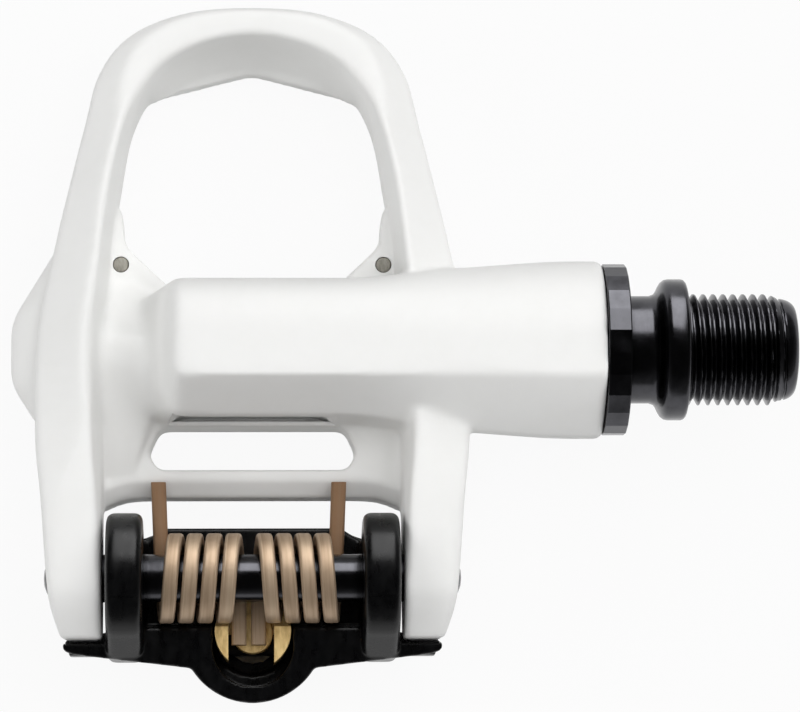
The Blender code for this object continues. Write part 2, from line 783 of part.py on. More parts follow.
def latch_jaw():
    """Plate under the springs, from the tail to the jaw's front edge."""
    rear = PIN_Y - ARM_TAIL
    chamfer_y = JAW_FRONT - JAW_CHAMFER
    half = [(JAW_FRONT_HALF, JAW_FRONT), (EAR_INNER, chamfer_y), (EAR_OUTER, chamfer_y), (EAR_OUTER, rear)]
    return prism("latch_jaw", mirrored(half), JAW_BOTTOM + FIT, JAW_TOP)


def latch_hook():
    """Wall and forward lip that hold the rear of a cleat, on the shoe side."""
    wall_rear = HOOK_WALL_FRONT - HOOK_WALL
    wall = box(
        "hook_wall", (-HOOK_HALF, wall_rear, HOOK_BOTTOM), (HOOK_HALF, HOOK_WALL_FRONT, JAW_TOP - FIT)
    )
    lip_half = [
        (JAW_FRONT_HALF, HOOK_FRONT),
        (HOOK_HALF - FIT, HOOK_FRONT - JAW_CHAMFER),
        (HOOK_HALF - FIT, wall_rear + FIT),
    ]
    lip = prism("hook_lip", mirrored(lip_half), HOOK_BOTTOM + FIT, HOOK_BOTTOM + HOOK_LIP)
    return wall, lip


def latch_ear(side):
    """Ear round the pin, running down to the tail behind it."""
    start, turn = math.radians(EAR_START), math.radians(EAR_TURN)
    outline = []
    for i in range(EAR_POINTS):
        angle = start + turn * i / (EAR_POINTS - 1)
        outline.append((PIN_Y + EAR_RADIUS * math.cos(angle), EAR_RADIUS * math.sin(angle)))
    rear = PIN_Y - EAR_TAIL
    outline += [(rear, TAIL_TOP), (rear, TAIL_BOTTOM + FIT), (PIN_Y, TAIL_BOTTOM + FIT)]
    ear = loft("ear", [[(side * x, y, z) for y, z in outline] for x in (EAR_INNER, EAR_OUTER)])
    bevel(ear, EAR_BEVEL)
    return ear


def pocket_cutter():
    top = TAIL_TOP + RUNNING_GAP
    cutter = rod("pocket", POCKET_FLOOR, top, POCKET_RADIUS, axis="Z", centre=(0.0, BOSS_Y))
    shifted = rod(
        "pocket_rear", NUT_BOTTOM, top, POCKET_RADIUS, axis="Z", centre=(0.0, BOSS_Y - POCKET_SHIFT)
    )
    join(cutter, shifted)
    return cutter


def latch():
    jaw = latch_jaw()
    boss = rod("boss", BOSS_BOTTOM, TAIL_TOP - FIT, BOSS_RADIUS, axis="Z", centre=(0.0, BOSS_Y))
    join(jaw, latch_tail(), boss, *latch_hook())
    coil_room = rod(
        "coil_room", -EAR_INNER, EAR_INNER, COIL_OUTSIDE + RUNNING_GAP, centre=(PIN_Y, 0.0)
    )
    cut(jaw, coil_room)
    for side in (-1, 1):
        join(jaw, latch_ear(side))
    screw_hole = rod(
        "screw_hole",
        BOSS_BOTTOM - FIT,
        TAIL_TOP,
        SCREW_RADIUS + FIT,
        axis="Z",
        centre=(0.0, BOSS_Y),
        sides=SMALL_SIDES,
    )
    cut(jaw, pocket_cutter(), screw_hole, pin_bore(WING_HALF))
    jaw.data.transform(Matrix.Translation((0.0, -PIN_Y, 0.0)))
    jaw.location = (0.0, PIN_Y, 0.0)
    return finish(jaw, "latch", "black_composite")


def latch_pin():
    end = ARM_OUTER_AT_PIN + PIN_PROUD
    profile = [(end, 0.0), (end - PIN_DOME / 3, 2 * PIN_RADIUS / 3), (end - PIN_DOME, PIN_RADIUS)]
    profile += [(-along, radius) for along, radius in reversed(profile)]
    pin = turned("latch_pin", profile, centre=(PIN_Y, 0.0))
    return finish(pin, "latch_pin", "black_steel")


def spring_path(side, play):
    """Points of one spring, with its coil round local Z: outer leg, turns, inner leg."""
    step = 2 * math.pi / SPRING_POINTS
    start = side * (SPRING_OUTER_X - play)
    advance = -side * SPRING_PITCH
    splay = side * OUTER_LEG_SPLAY
    points = [(COIL_RADIUS, OUTER_LEG_LENGTH * share, start + splay * share) for share in LEG_SHARES]
    for i in range(SPRING_TURNS * SPRING_POINTS + 1):
        angle = i * step
        points.append(
            (
                COIL_RADIUS * math.cos(angle),
                -COIL_RADIUS * math.sin(angle),
                start + advance * angle / (2 * math.pi),
            )
        )
    end = start + advance * SPRING_TURNS
    points += [(COIL_RADIUS, -INNER_LEG_LENGTH * share, end) for share in reversed(LEG_SHARES)]
    return [Vector(point) for point in points]


def least_gap(points):
    """Least gap of the wire to itself, between points half a turn or more apart."""
    apart = SPRING_POINTS // 2
    least = min(
        (points[i] - points[j]).length
        for i in range(len(points))
        for j in range(i + apart, len(points))
    )
    return least - WIRE_WIDTH


def wire_section():
    """Flat wire with eased edges, as the bevel shape of the springs."""
    half_x, half_y = WIRE_DEPTH / 2, WIRE_WIDTH / 2
    corners = [
        (half_x - WIRE_BEVEL, -half_y),
        (half_x, -half_y + WIRE_BEVEL),
        (half_x, half_y - WIRE_BEVEL),
        (half_x - WIRE_BEVEL, half_y),
    ]
    outline = [*corners, *((-x, -y) for x, y in corners)]
    return poly_curve("wire_section", [(x, y, 0.0) for x, y in reversed(outline)], True)


def poly_curve(name, points, cyclic):
    curve = bpy.data.curves.new(name, "CURVE")
    curve.dimensions = "3D"
    spline = curve.splines.new("POLY")
    spline.points.add(len(points) - 1)
    for target, point in zip(spline.points, points):
        target.co = (*point, 1.0)
    spline.use_cyclic_u = cyclic
    return place(name, curve)


def latch_spring(name, side, play, section):
    path = spring_path(side, play)
    spring = poly_curve(name, path, False)
    spring.data.bevel_mode = "OBJECT"
    spring.data.bevel_object = section
    spring.data.use_fill_caps = True
    spring.data.twist_mode = "Z_UP"
    spring.location = (0.0, PIN_Y, 0.0)
    spring.rotation_euler = (0.0, math.pi / 2, 0.0)
    print(f"{name}: least gap of the wire to itself {least_gap(path) * 1000:.2f} mm")
    return finish(spring, name, "bronzed_spring")


def tension_nut():
    centre = (0.0, BOSS_Y)
    nut = rod("tension_nut", NUT_BOTTOM, NUT_CHEEK_TOP, NUT_RADIUS, axis="Z", centre=centre)
    slot = box(
        "nut_slot",
        (-NUT_SLOT_HALF, BOSS_Y - 2 * NUT_RADIUS, NUT_TOP),
        (NUT_SLOT_HALF, BOSS_Y + 2 * NUT_RADIUS, NUT_CHEEK_TOP + FIT),
    )
    coil_room = rod(
        "nut_coil_room", -EAR_INNER, EAR_INNER, COIL_OUTSIDE + FIT, centre=(PIN_Y, 0.0)
    )
    hole_radius = SCREW_RADIUS + FIT
    hole = rod(
        "nut_hole", NUT_BOTTOM - FIT, NUT_TOP + FIT, hole_radius, axis="Z", centre=centre, sides=SMALL_SIDES
    )
    cut(nut, slot, coil_room, hole)
    return finish(nut, "tension_nut", "brass")


def tension_screw():
    steps = [
        (SCREW_HEAD_TOP, SCREW_TIP, SCREW_RADIUS),
        (SCREW_HEAD_BOTTOM, SCREW_HEAD_TOP, SCREW_HEAD_RADIUS),
    ]
    screw = turned("tension_screw", solid_profile(steps), axis="Z", centre=(0.0, BOSS_Y), sides=SMALL_SIDES)
    socket = hexagon(
        "screw_socket",
        SCREW_HEAD_BOTTOM - FIT,
        SCREW_HEAD_BOTTOM + SCREW_SOCKET_DEPTH,
        SCREW_SOCKET_RADIUS,
        axis="Z",
        centre=(0.0, BOSS_Y),
    )
    cut(screw, socket)
    return finish(screw, "tension_screw", "bright_steel")


def screw_clip():
    hole = SCREW_RADIUS + FIT
    centre = (0.0, BOSS_Y)
    clip = ring(
        "screw_clip", CLIP_FROM, CLIP_TO, hole, CLIP_RADIUS, axis="Z", centre=centre, sides=SMALL_SIDES
    )
    return finish(clip, "screw_clip", "bright_steel")


def stand_on_floor():
    """Moves the root so that the middle of the bottom of the part's box is the origin."""
    bpy.context.view_layer.update()
    graph = bpy.context.evaluated_depsgraph_get()
    corners = []
    for obj in PARTS.objects:
        if obj.type != "EMPTY":
            evaluated = obj.evaluated_get(graph)
            mesh = evaluated.to_mesh()
            corners += [evaluated.matrix_world @ vert.co for vert in mesh.vertices]
            evaluated.to_mesh_clear()
    low = [min(corner[i] for corner in corners) for i in range(3)]
    high = [max(corner[i] for corner in corners) for i in range(3)]
    ROOT.location = (-(low[0] + high[0]) / 2, -(low[1] + high[1]) / 2, -low[2])
    print("spindle axis at", [round(value * 1000, 3) for value in ROOT.location], "mm")


def main():
    pedal_body()
    wear_pin("wear_pin_outboard", -1)
    wear_pin("wear_pin_inboard", 1)
    cage_nut()
    axle_seal()
    spindle()
    needle_shell()
    needle_cage()
    bearing_outer_race()
    ball_cage()
    bearing_inner_race()
    lock_washer()
    lock_nut()
    latch()
    latch_pin()
    section = wire_section()
    latch_spring("latch_spring_left", -1, 0.0, section)
    latch_spring("latch_spring_right", 1, SPRING_PLAY, section)
    tension_nut()
    tension_screw()
    screw_clip()
    stand_on_floor()


main()
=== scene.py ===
"""Looks of a right-hand clipless road pedal that lies on its shoe side.

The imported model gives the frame. Every new piece is modelled in the pedal's own axes, in metres: X from
the centre line of the cleat towards the crank, Y from the spindle axis towards the nose, and Z from the
spindle axis out of the underside. A finished piece is then moved into the frame, with its place in its mesh.
"""

from __future__ import annotations

import json
import logging
import math
import sys
from contextlib import contextmanager
from dataclasses import dataclass
from enum import Enum
from typing import Any, Iterator, Sequence

import bpy
from mathutils import Matrix, Vector

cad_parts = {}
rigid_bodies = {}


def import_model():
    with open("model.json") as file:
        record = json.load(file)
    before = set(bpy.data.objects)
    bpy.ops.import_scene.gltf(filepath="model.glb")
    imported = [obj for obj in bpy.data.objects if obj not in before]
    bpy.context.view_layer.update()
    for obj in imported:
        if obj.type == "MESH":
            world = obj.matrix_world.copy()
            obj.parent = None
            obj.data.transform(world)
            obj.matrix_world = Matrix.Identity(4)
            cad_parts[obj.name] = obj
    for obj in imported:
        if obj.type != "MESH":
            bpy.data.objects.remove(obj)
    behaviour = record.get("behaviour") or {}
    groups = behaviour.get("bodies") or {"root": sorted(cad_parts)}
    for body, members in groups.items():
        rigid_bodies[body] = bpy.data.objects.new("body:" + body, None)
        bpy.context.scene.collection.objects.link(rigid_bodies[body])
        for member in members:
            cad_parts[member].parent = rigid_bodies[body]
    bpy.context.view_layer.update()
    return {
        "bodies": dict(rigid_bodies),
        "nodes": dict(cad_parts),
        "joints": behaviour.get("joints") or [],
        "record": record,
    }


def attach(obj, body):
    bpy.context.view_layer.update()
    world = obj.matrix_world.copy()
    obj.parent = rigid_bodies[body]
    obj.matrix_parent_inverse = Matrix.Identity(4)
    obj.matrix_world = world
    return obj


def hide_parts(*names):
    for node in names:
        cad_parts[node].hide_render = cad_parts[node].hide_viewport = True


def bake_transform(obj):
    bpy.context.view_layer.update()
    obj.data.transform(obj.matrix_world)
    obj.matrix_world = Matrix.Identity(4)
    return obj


LOG = logging.getLogger("pedal")
PHOTO_WIDTH = 800
SENSOR_WIDTH = 36.0
NEAR_CLIP = 0.01

Flat = tuple[float, float]
Triple = tuple[float, float, float]
Ring = list[Vector]
Piece = bpy.types.Object
Socket = bpy.types.NodeSocket


class Body(Enum):
    """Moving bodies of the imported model."""

    PEDAL = "pedal"
    AXLE = "axle"
    JAW = "jaw"
    SCREW = "screw"
    SLIDER = "slider"


class Slot(Enum):
    """Material slots of the record."""

    BODY_WHITE = "body_white"
    BLACK_STEEL = "black_steel"
    LATCH_BLACK = "latch_black"
    SPRING_BRONZE = "spring_bronze"
    NUT_BRASS = "nut_brass"
    BRIGHT_STEEL = "bright_steel"
    SEAL_RUBBER = "seal_rubber"


class Axis(Enum):
    """Line that a turned piece is spun round."""

    SPINDLE = "x"
    UPRIGHT = "z"


class Side(Enum):
    """Side of the centre line, by the sign of X."""

    OUTBOARD = -1
    CRANK = 1


class Combine(Enum):
    """Ways to combine one piece with another."""

    UNITE = "UNION"
    CUT = "DIFFERENCE"


class Grain(Enum):
    """Coordinates that a surface pattern follows."""

    PIECE = "Object"
    WIRE = "UV"


class Draft:
    """Outlines and curves that the pieces are shaped by."""

    CORNER_SHARE = 0.46  # most of an edge that one rounded corner takes

    @classmethod
    def eased(cls, corners: Sequence[Vector], radii: float | Sequence[float], steps: int = 4) -> Ring:
        """Rounds the corners of a closed outline.

        Args:
            corners: Points of the outline, in order.
            radii: How far each rounding reaches along its edges, one for all or one each.
            steps: Pieces that each rounding is made of.

        Returns:
            The rounded outline, with the same number of points for every corner.
        """
        reach = [radii] * len(corners) if isinstance(radii, float) else list(radii)
        outline: Ring = []
        for i, corner in enumerate(corners):
            before = corners[i - 1] - corner
            after = corners[(i + 1) % len(corners)] - corner
            start = corner + before.normalized() * min(reach[i], cls.CORNER_SHARE * before.length)
            end = corner + after.normalized() * min(reach[i], cls.CORNER_SHARE * after.length)
            for step in range(steps + 1):
                t = step / steps
                outline.append(start * (1 - t) ** 2 + corner * (2 * t * (1 - t)) + end * t * t)
        return outline

    @staticmethod
    def through(rows: Sequence[Sequence[float]], steps: int) -> list[list[float]]:
        """Sets more rows of numbers on a smooth curve through the given ones.

        Args:
            rows: Rows of equally many numbers.
            steps: Rows made for each given one.

        Returns:
            The given rows and those between them.
        """
        padded = [rows[0], *rows, rows[-1]]
        made: list[list[float]] = []
        for before, start, end, after in zip(padded, padded[1:], padded[2:], padded[3:]):
            for step in range(steps):
                t = step / steps
                made.append(
                    [
                        b + t * (c - a) / 2 + t * t * (a - 2.5 * b + 2 * c - d / 2)
                        + t**3 * (1.5 * (b - c) + (d - a) / 2)
                        for a, b, c, d in zip(before, start, end, after)
                    ]
                )
        made.append(list(rows[-1]))
        return made

    @staticmethod
    def arc(centre: Flat, radius: float, start: float, turn: float, count: int) -> Ring:
        """Points on an arc in a plane.

        Args:
            centre: Centre of the arc.
            radius: Its radius.
            start: First angle, in degrees.
            turn: Angle from the first point to the last, in degrees.
            count: Number of points.

        Returns:
            The points, from the first angle to the last.
        """
        angles = [math.radians(start + turn * i / (count - 1)) for i in range(count)]
        return [Vector((centre[0] + radius * math.cos(a), centre[1] + radius * math.sin(a))) for a in angles]

    @staticmethod
    def mirrored(half: Sequence[Vector]) -> Ring:
        """Completes a half outline at +X by its mirror image."""
        return [*half, *(Vector((-point.x, point.y)) for point in reversed(half))]

    @staticmethod
    def lifted(outline: Sequence[Vector], height: float) -> Ring:
        """Puts a flat outline at a height."""
        return [Vector((point.x, point.y, height)) for point in outline]


class Bench:
    """Modelling steps, each made with Blender's own operators on one piece at a time."""

    MERGE = 1e-6

    @staticmethod
    def clear() -> None:
        """Deselects everything."""
        bpy.ops.object.select_all(action="DESELECT")

    @classmethod
    def hold(cls, piece: Piece) -> None:
        """Selects one piece and makes it active.

        Args:
            piece: Piece to select.
        """
        cls.clear()
        piece.select_set(True)
        bpy.context.view_layer.objects.active = piece

    @classmethod
    @contextmanager
    def editing(cls, piece: Piece) -> Iterator[None]:
        """Opens edit mode on one piece, with all of it selected."""
        cls.hold(piece)
        bpy.ops.object.mode_set(mode="EDIT")
        bpy.ops.mesh.select_all(action="SELECT")
        try:
            yield
        finally:
            bpy.ops.object.mode_set(mode="OBJECT")

    @staticmethod
    def named(name: str) -> Piece:
        """Names the piece that was added last.

        Args:
            name: Its new name.

        Returns:
            The piece.
        """
        piece = bpy.context.object
        piece.name = piece.data.name = name
        return piece

    @staticmethod
    def face_out() -> None:
        """Turns all faces of the piece in edit mode outwards."""
        bpy.ops.mesh.select_all(action="SELECT")
        bpy.ops.mesh.normals_make_consistent(inside=False)

    @classmethod
    def skin(cls, name: str, rings: Sequence[Sequence[Vector]]) -> Piece:
        """Rolls a grid into a closed skin over rings of points.

        Args:
            name: Name of the piece.
            rings: Rings of equally many points, from one end to the other.

        Returns:
            The skin, capped at both ends, with its UV map round and along the rings.
        """
        around, along = len(rings[0]), len(rings) - 1
        cls.clear()
        bpy.ops.mesh.primitive_grid_add(x_subdivisions=around, y_subdivisions=along, size=2.0)
        piece = cls.named(name)
        for vert in piece.data.vertices:
            column = round((vert.co.x + 1.0) / 2.0 * around) % around
            row = round((vert.co.y + 1.0) / 2.0 * along)
            vert.co = rings[row][column]
        with cls.editing(piece):
            bpy.ops.mesh.remove_doubles(threshold=cls.MERGE)
            bpy.ops.mesh.delete_loose(use_verts=True, use_edges=True, use_faces=False)
            bpy.ops.mesh.select_all(action="SELECT")
            bpy.ops.mesh.fill_holes(sides=0)
            cls.face_out()
        return piece

    @classmethod
    def plate(cls, name: str, outline: Sequence[Vector], bottom: float, top: float) -> Piece:
        """Shapes a disc to an outline and extrudes it.

        Args:
            name: Name of the piece.
            outline: Outline in X and Y.
            bottom: Height of its lower side.
            top: Height of its upper side.

        Returns:
            The plate.
        """
        cls.clear()
        bpy.ops.mesh.primitive_circle_add(vertices=len(outline), radius=1.0, fill_type="NGON")
        piece = cls.named(name)
        for vert, point in zip(piece.data.vertices, outline):
            vert.co = (point.x, point.y, bottom)
        with cls.editing(piece):
            bpy.ops.mesh.extrude_region_move(TRANSFORM_OT_translate={"value": (0.0, 0.0, top - bottom)})
            cls.face_out()
        return piece

    @classmethod
    def turned(
        cls,
        name: str,
        profile: Sequence[Flat],
        axis: Axis = Axis.SPINDLE,
        centre: Flat = (0.0, 0.0),
        steps: int = 64,
        first: float = 0.0,
    ) -> Piece:
        """Skins a closed profile round an axis, ring by ring, so that every run gives the same mesh.

        Args:
            name: Name of the piece.
            profile: Points of (place along the axis, radius), in order.
            axis: Line to spin round.
            centre: Where the axis stands: Y and Z for the spindle's, X and Y for an upright one.
            steps: Steps of a full turn.
            first: Angle of the first step from +Y, in degrees.

        Returns:
            The turned piece.
        """
        along_spindle = axis is Axis.SPINDLE
        middle = Vector((0.0, *centre)) if along_spindle else Vector((*centre, 0.0))
        line = Vector((1.0, 0.0, 0.0)) if along_spindle else Vector((0.0, 0.0, 1.0))
        rings = []
        for step in range(steps):
            turn = Matrix.Rotation(math.radians(first) + 2 * math.pi * step / steps, 3, line)
            out = turn @ Vector((0.0, 1.0, 0.0))
            rings.append([middle + line * along + out * radius for along, radius in profile])
        return cls.skin(name, [*rings, rings[0]])

    @classmethod
    def rod(
        cls,
        name: str,
        start: float,
        end: float,
        radius: float,
        axis: Axis = Axis.SPINDLE,
        centre: Flat = (0.0, 0.0),
        steps: int = 64,
        first: float = 0.0,
    ) -> Piece:
        """Turns a plain rod, the start of a cut or of a larger piece.

        Args:
            name: Name of the piece.
            start: Where it starts along its axis.
            end: Where it ends.
            radius: Its radius.
            axis: Line that it lies along.
            centre: Where the axis stands.
            steps: Sides of the rod.
            first: Angle of its first corner from +Y, in degrees.

        Returns:
            The rod.
        """
        profile = [(start, 0.0), (start, radius), (end, radius), (end, 0.0)]
        return cls.turned(name, profile, axis, centre, steps, first)

    @classmethod
    def apply(cls, piece: Piece, modifier: bpy.types.Modifier) -> None:
        """Applies one modifier of a piece."""
        cls.hold(piece)
        bpy.ops.object.modifier_apply(modifier=modifier.name)

    @classmethod
    def boolean(cls, piece: Piece, other: Piece, way: Combine) -> Piece:
        """Combines a piece with another one, which is kept.

        Args:
            piece: Piece to change.
            other: Piece to combine it with.
            way: How to combine them.

        Returns:
            The changed piece.
        """
        modifier = piece.modifiers.new("combine", "BOOLEAN")
        modifier.operation = way.value
        modifier.solver = "EXACT"
        modifier.object = other
        cls.apply(piece, modifier)
        return piece

    @classmethod
    def cut(cls, piece: Piece, *cutters: Piece) -> Piece:
        """Cuts a piece by cutters, which are then discarded.

        Args:
            piece: Piece to change.
            cutters: Pieces to cut it by.

        Returns:
            The cut piece.
        """
        for cutter in cutters:
            cls.boolean(piece, cutter, Combine.CUT)
        cls.discard(*cutters)
        return piece

    @classmethod
    def fuse(cls, piece: Piece, *others: Piece) -> Piece:
        """Unites a piece with others, which are then discarded.

        Args:
            piece: Piece to change.
            others: Pieces to unite it with.

        Returns:
            The united piece.
        """
        for other in others:
            cls.boolean(piece, other, Combine.UNITE)
        cls.discard(*others)
        return piece

    @staticmethod
    def discard(*pieces: Piece) -> None:
        """Deletes helper pieces with their meshes."""
        for piece in pieces:
            bpy.data.meshes.remove(piece.data)

    @classmethod
    def gather(cls, piece: Piece, *others: Piece) -> Piece:
        """Joins other pieces' meshes into a piece, as loose shells.

        Args:
            piece: Piece that takes the others in.
            others: Pieces to join.

        Returns:
            The joined piece.
        """
        cls.hold(piece)
        for other in others:
            other.select_set(True)
        bpy.ops.object.join()
        return piece

    @classmethod
    def smooth(cls, piece: Piece, passes: int, group: str = "") -> Piece:
        """Smooths a piece, or the vertices of one of its groups.

        Args:
            piece: Piece to change.
            passes: Smoothing passes.
            group: Group to smooth, or all of it where empty.

        Returns:
            The smoothed piece.
        """
        modifier = piece.modifiers.new("ease", "SMOOTH")
        modifier.factor = 0.5
        modifier.iterations = passes
        modifier.vertex_group = group
        cls.apply(piece, modifier)
        return piece

    @classmethod
    def melt(cls, piece: Piece, voxel: float, passes: int) -> Piece:
        """Makes one moulded skin of loose shells, with fillets in its corners.

        Args:
            piece: Piece of overlapping closed shells.
            voxel: Size of the new faces.
            passes: Smoothing passes, which set how round the corners get.

        Returns:
            The moulded piece.
        """
        remesh = piece.modifiers.new("melt", "REMESH")
        remesh.mode = "VOXEL"
        remesh.voxel_size = voxel
        cls.apply(piece, remesh)
        return cls.smooth(piece, passes)

    @classmethod
    def relax(cls, piece: Piece, passes: int, centre: Triple, reach: Triple) -> Piece:
        """Smooths a piece further round one place, less and less towards the edge of its reach.

        Args:
            piece: Piece to smooth.
            passes: Smoothing passes at the centre.
            centre: The place.
            reach: How far the smoothing reaches along each axis.

        Returns:
            The smoothed piece.
        """
        group = piece.vertex_groups.new(name="relaxed")
        for vert in piece.data.vertices:
            off = [(at - middle) / far for at, middle, far in zip(vert.co, centre, reach)]
            share = 1.0 - math.hypot(*off)
            if share > 0:
                group.add([vert.index], min(2 * share, 1.0), "REPLACE")
        cls.smooth(piece, passes, group.name)
        piece.vertex_groups.clear()
        return piece

    @classmethod
    def thin(cls, piece: Piece, most_faces: int) -> Piece:
        """Thins a skin of quads down to a number of triangles.

        Args:
            piece: Piece to change.
            most_faces: Most triangles that it may have.

        Returns:
            The thinned piece.
        """
        faces = 2 * len(piece.data.polygons)
        if faces > most_faces:
            modifier = piece.modifiers.new("thin", "DECIMATE")
            modifier.ratio = most_faces / faces
            cls.apply(piece, modifier)
        return piece

    @classmethod
    def bevel(cls, piece: Piece, width: float, segments: int = 2, angle: float = 30.0) -> Piece:
        """Rounds the edges of a piece that are sharper than an angle in degrees.

        Args:
            piece: Piece to change.
            width: Width of the rounding.
            segments: Faces across it.
            angle: Angle past which an edge is rounded.

        Returns:
            The rounded piece.
        """
        modifier = piece.modifiers.new("edges", "BEVEL")
        modifier.width = width
        modifier.segments = segments
        modifier.limit_method = "ANGLE"
        modifier.angle_limit = math.radians(angle)
        cls.apply(piece, modifier)
        return piece

    @classmethod
    def shade(cls, piece: Piece, angle: float) -> Piece:
        """Shades a piece smooth, apart from edges sharper than an angle in degrees.

        Args:
            piece: Piece to change.
            angle: Angle past which an edge stays sharp.

        Returns:
            The shaded piece.
        """
        cls.hold(piece)
        bpy.ops.object.shade_smooth_by_angle(angle=math.radians(angle))
        return piece

    @classmethod
    def move(cls, piece: Piece, offset: Vector) -> Piece:
        """Moves a piece by its mesh.

        Args:
            piece: Piece to change.
            offset: How far to move it.

        Returns:
            The moved piece.
        """
        cls.hold(piece)
        piece.location = offset
        bpy.ops.object.transform_apply(location=True, rotation=True, scale=True)
        return piece


class Graph:
    """Node tree of one material, with short calls for the nodes that finishes use."""

    def __init__(self, name: str) -> None:
        """Starts a material with a Principled shader.

        Args:
            name: Name of the material.
        """
        self.material = bpy.data.materials.new(name)
        self.material.use_nodes = True
        self.tree = self.material.node_tree
        self.shader = self.tree.nodes["Principled BSDF"]

    def node(self, kind: str, **settings: Any) -> bpy.types.Node:
        """Adds a node and sets its properties.

        Args:
            kind: Type of the node.
            settings: Properties to set.

        Returns:
            The node.
        """
        node = self.tree.nodes.new(kind)
        for key, value in settings.items():
            setattr(node, key, value)
        return node

    def link(self, source: Socket, target: Socket) -> None:
        """Links two sockets."""
        self.tree.links.new(source, target)

    def grain(self, stretch: Triple = (1.0, 1.0, 1.0), grain: Grain = Grain.PIECE) -> Socket:
        """Coordinates of the piece or its wire, scaled along each axis.

        Args:
            stretch: Scale along each axis.
            grain: Coordinates to follow.

        Returns:
            The coordinates.
        """
        coordinates = self.node("ShaderNodeTexCoord")
        mapping = self.node("ShaderNodeMapping")
        mapping.inputs["Scale"].default_value = stretch
        self.link(coordinates.outputs[grain.value], mapping.inputs["Vector"])
        return mapping.outputs["Vector"]

    def noise(self, vector: Socket, scale: float, detail: float = 2.0, roughness: float = 0.5) -> Socket:
        """Noise on given coordinates.

        Args:
            vector: Coordinates.
            scale: Spots per metre of the coordinates.
            detail: Octaves.
            roughness: Share of each finer octave.

        Returns:
            The noise, from 0 to 1.
        """
        node = self.node("ShaderNodeTexNoise")
        node.inputs["Scale"].default_value = scale
        node.inputs["Detail"].default_value = detail
        node.inputs["Roughness"].default_value = roughness
        self.link(vector, node.inputs["Vector"])
        return node.outputs["Fac"]

    def span(self, value: Socket, low: float, high: float, start: float = 0.3, end: float = 0.7) -> Socket:
        """Maps noise between start and end to numbers between low and high.

        Args:
            value: Pattern to map.
            low: Number at the start.
            high: Number at the end.
            start: Where in the pattern the low number is reached.
            end: Where in it the high number is reached.

        Returns:
            The mapped pattern.
        """
        node = self.node("ShaderNodeMapRange", clamp=True)
        node.inputs["From Min"].default_value = start
        node.inputs["From Max"].default_value = end
        node.inputs["To Min"].default_value = low
        node.inputs["To Max"].default_value = high
        self.link(value, node.inputs["Value"])
        return node.outputs["Result"]

    def part(self, vector: Socket, axis: str) -> Socket:
        """One coordinate of a vector.

        Args:
            vector: The vector.
            axis: X, Y or Z.

        Returns:
            The coordinate.
        """
        node = self.node("ShaderNodeSeparateXYZ")
        self.link(vector, node.inputs["Vector"])
        return node.outputs[axis]

    def times(self, first: Socket, second: Socket) -> Socket:
        """Product of two patterns.

        Args:
            first: One pattern.
            second: The other.

        Returns:
            The product.
        """
        node = self.node("ShaderNodeMath", operation="MULTIPLY")
        self.link(first, node.inputs[0])
        self.link(second, node.inputs[1])
        return node.outputs["Value"]

    def tint(self, value: Socket, stops: Sequence[tuple[float, Triple]]) -> Socket:
        """Colours noise by stops of (place, colour).

        Args:
            value: Pattern to colour.
            stops: Places with their colours.

        Returns:
            The colour.
        """
        node = self.node("ShaderNodeValToRGB")
        elements = node.color_ramp.elements
        while len(elements) < len(stops):
            elements.new(0.5)
        for element, (place, colour) in zip(elements, stops):
            element.position = place
            element.color = (*colour, 1.0)
        self.link(value, node.inputs["Fac"])
        return node.outputs["Color"]

    def relief(self, height: Socket, depth: float, strength: float, under: Socket | None = None) -> Socket:
        """Adds relief to the surface.

        Args:
            height: Heights from 0 to 1.
            depth: Depth in metres of a height of 1.
            strength: Share of the relief that shows.
            under: Relief that this one lies on.

        Returns:
            The changed normal.
        """
        node = self.node("ShaderNodeBump")
        node.inputs["Strength"].default_value = strength
        node.inputs["Distance"].default_value = depth
        self.link(height, node.inputs["Height"])
        if under is not None:
            self.link(under, node.inputs["Normal"])
        return node.outputs["Normal"]

    def set(self, name: str, value: Any) -> None:
        """Sets or links an input of the shader.

        Args:
            name: Name of the input.
            value: Socket to link, or value to set.
        """
        target = self.shader.inputs[name]
        if isinstance(value, bpy.types.NodeSocket):
            self.link(value, target)
        else:
            target.default_value = (*value, 1.0) if isinstance(value, tuple) else value


@dataclass(frozen=True)
class Finish:
    """A finish: the record's slot that it takes, and its own material."""

    slot: Slot = Slot.BODY_WHITE
    name: str = "finish"

    def paint(self, graph: Graph) -> None:
        """Builds the finish's nodes in a new material."""
        raise NotImplementedError

    def material(self) -> bpy.types.Material:
        """Gives the finish's material, made once.

        Returns:
            The material.
        """
        made = bpy.data.materials.get(self.name)
        if made is None:
            graph = Graph(self.name)
            self.paint(graph)
            made = graph.material
        return made

    def dress(self, piece: Piece) -> None:
        """Puts the finish on a piece, in place of any material that it has.

        Args:
            piece: Piece to dress.
        """
        if piece.material_slots:
            for slot in piece.material_slots:
                slot.material = self.material()
        else:
            piece.data.materials.append(self.material())


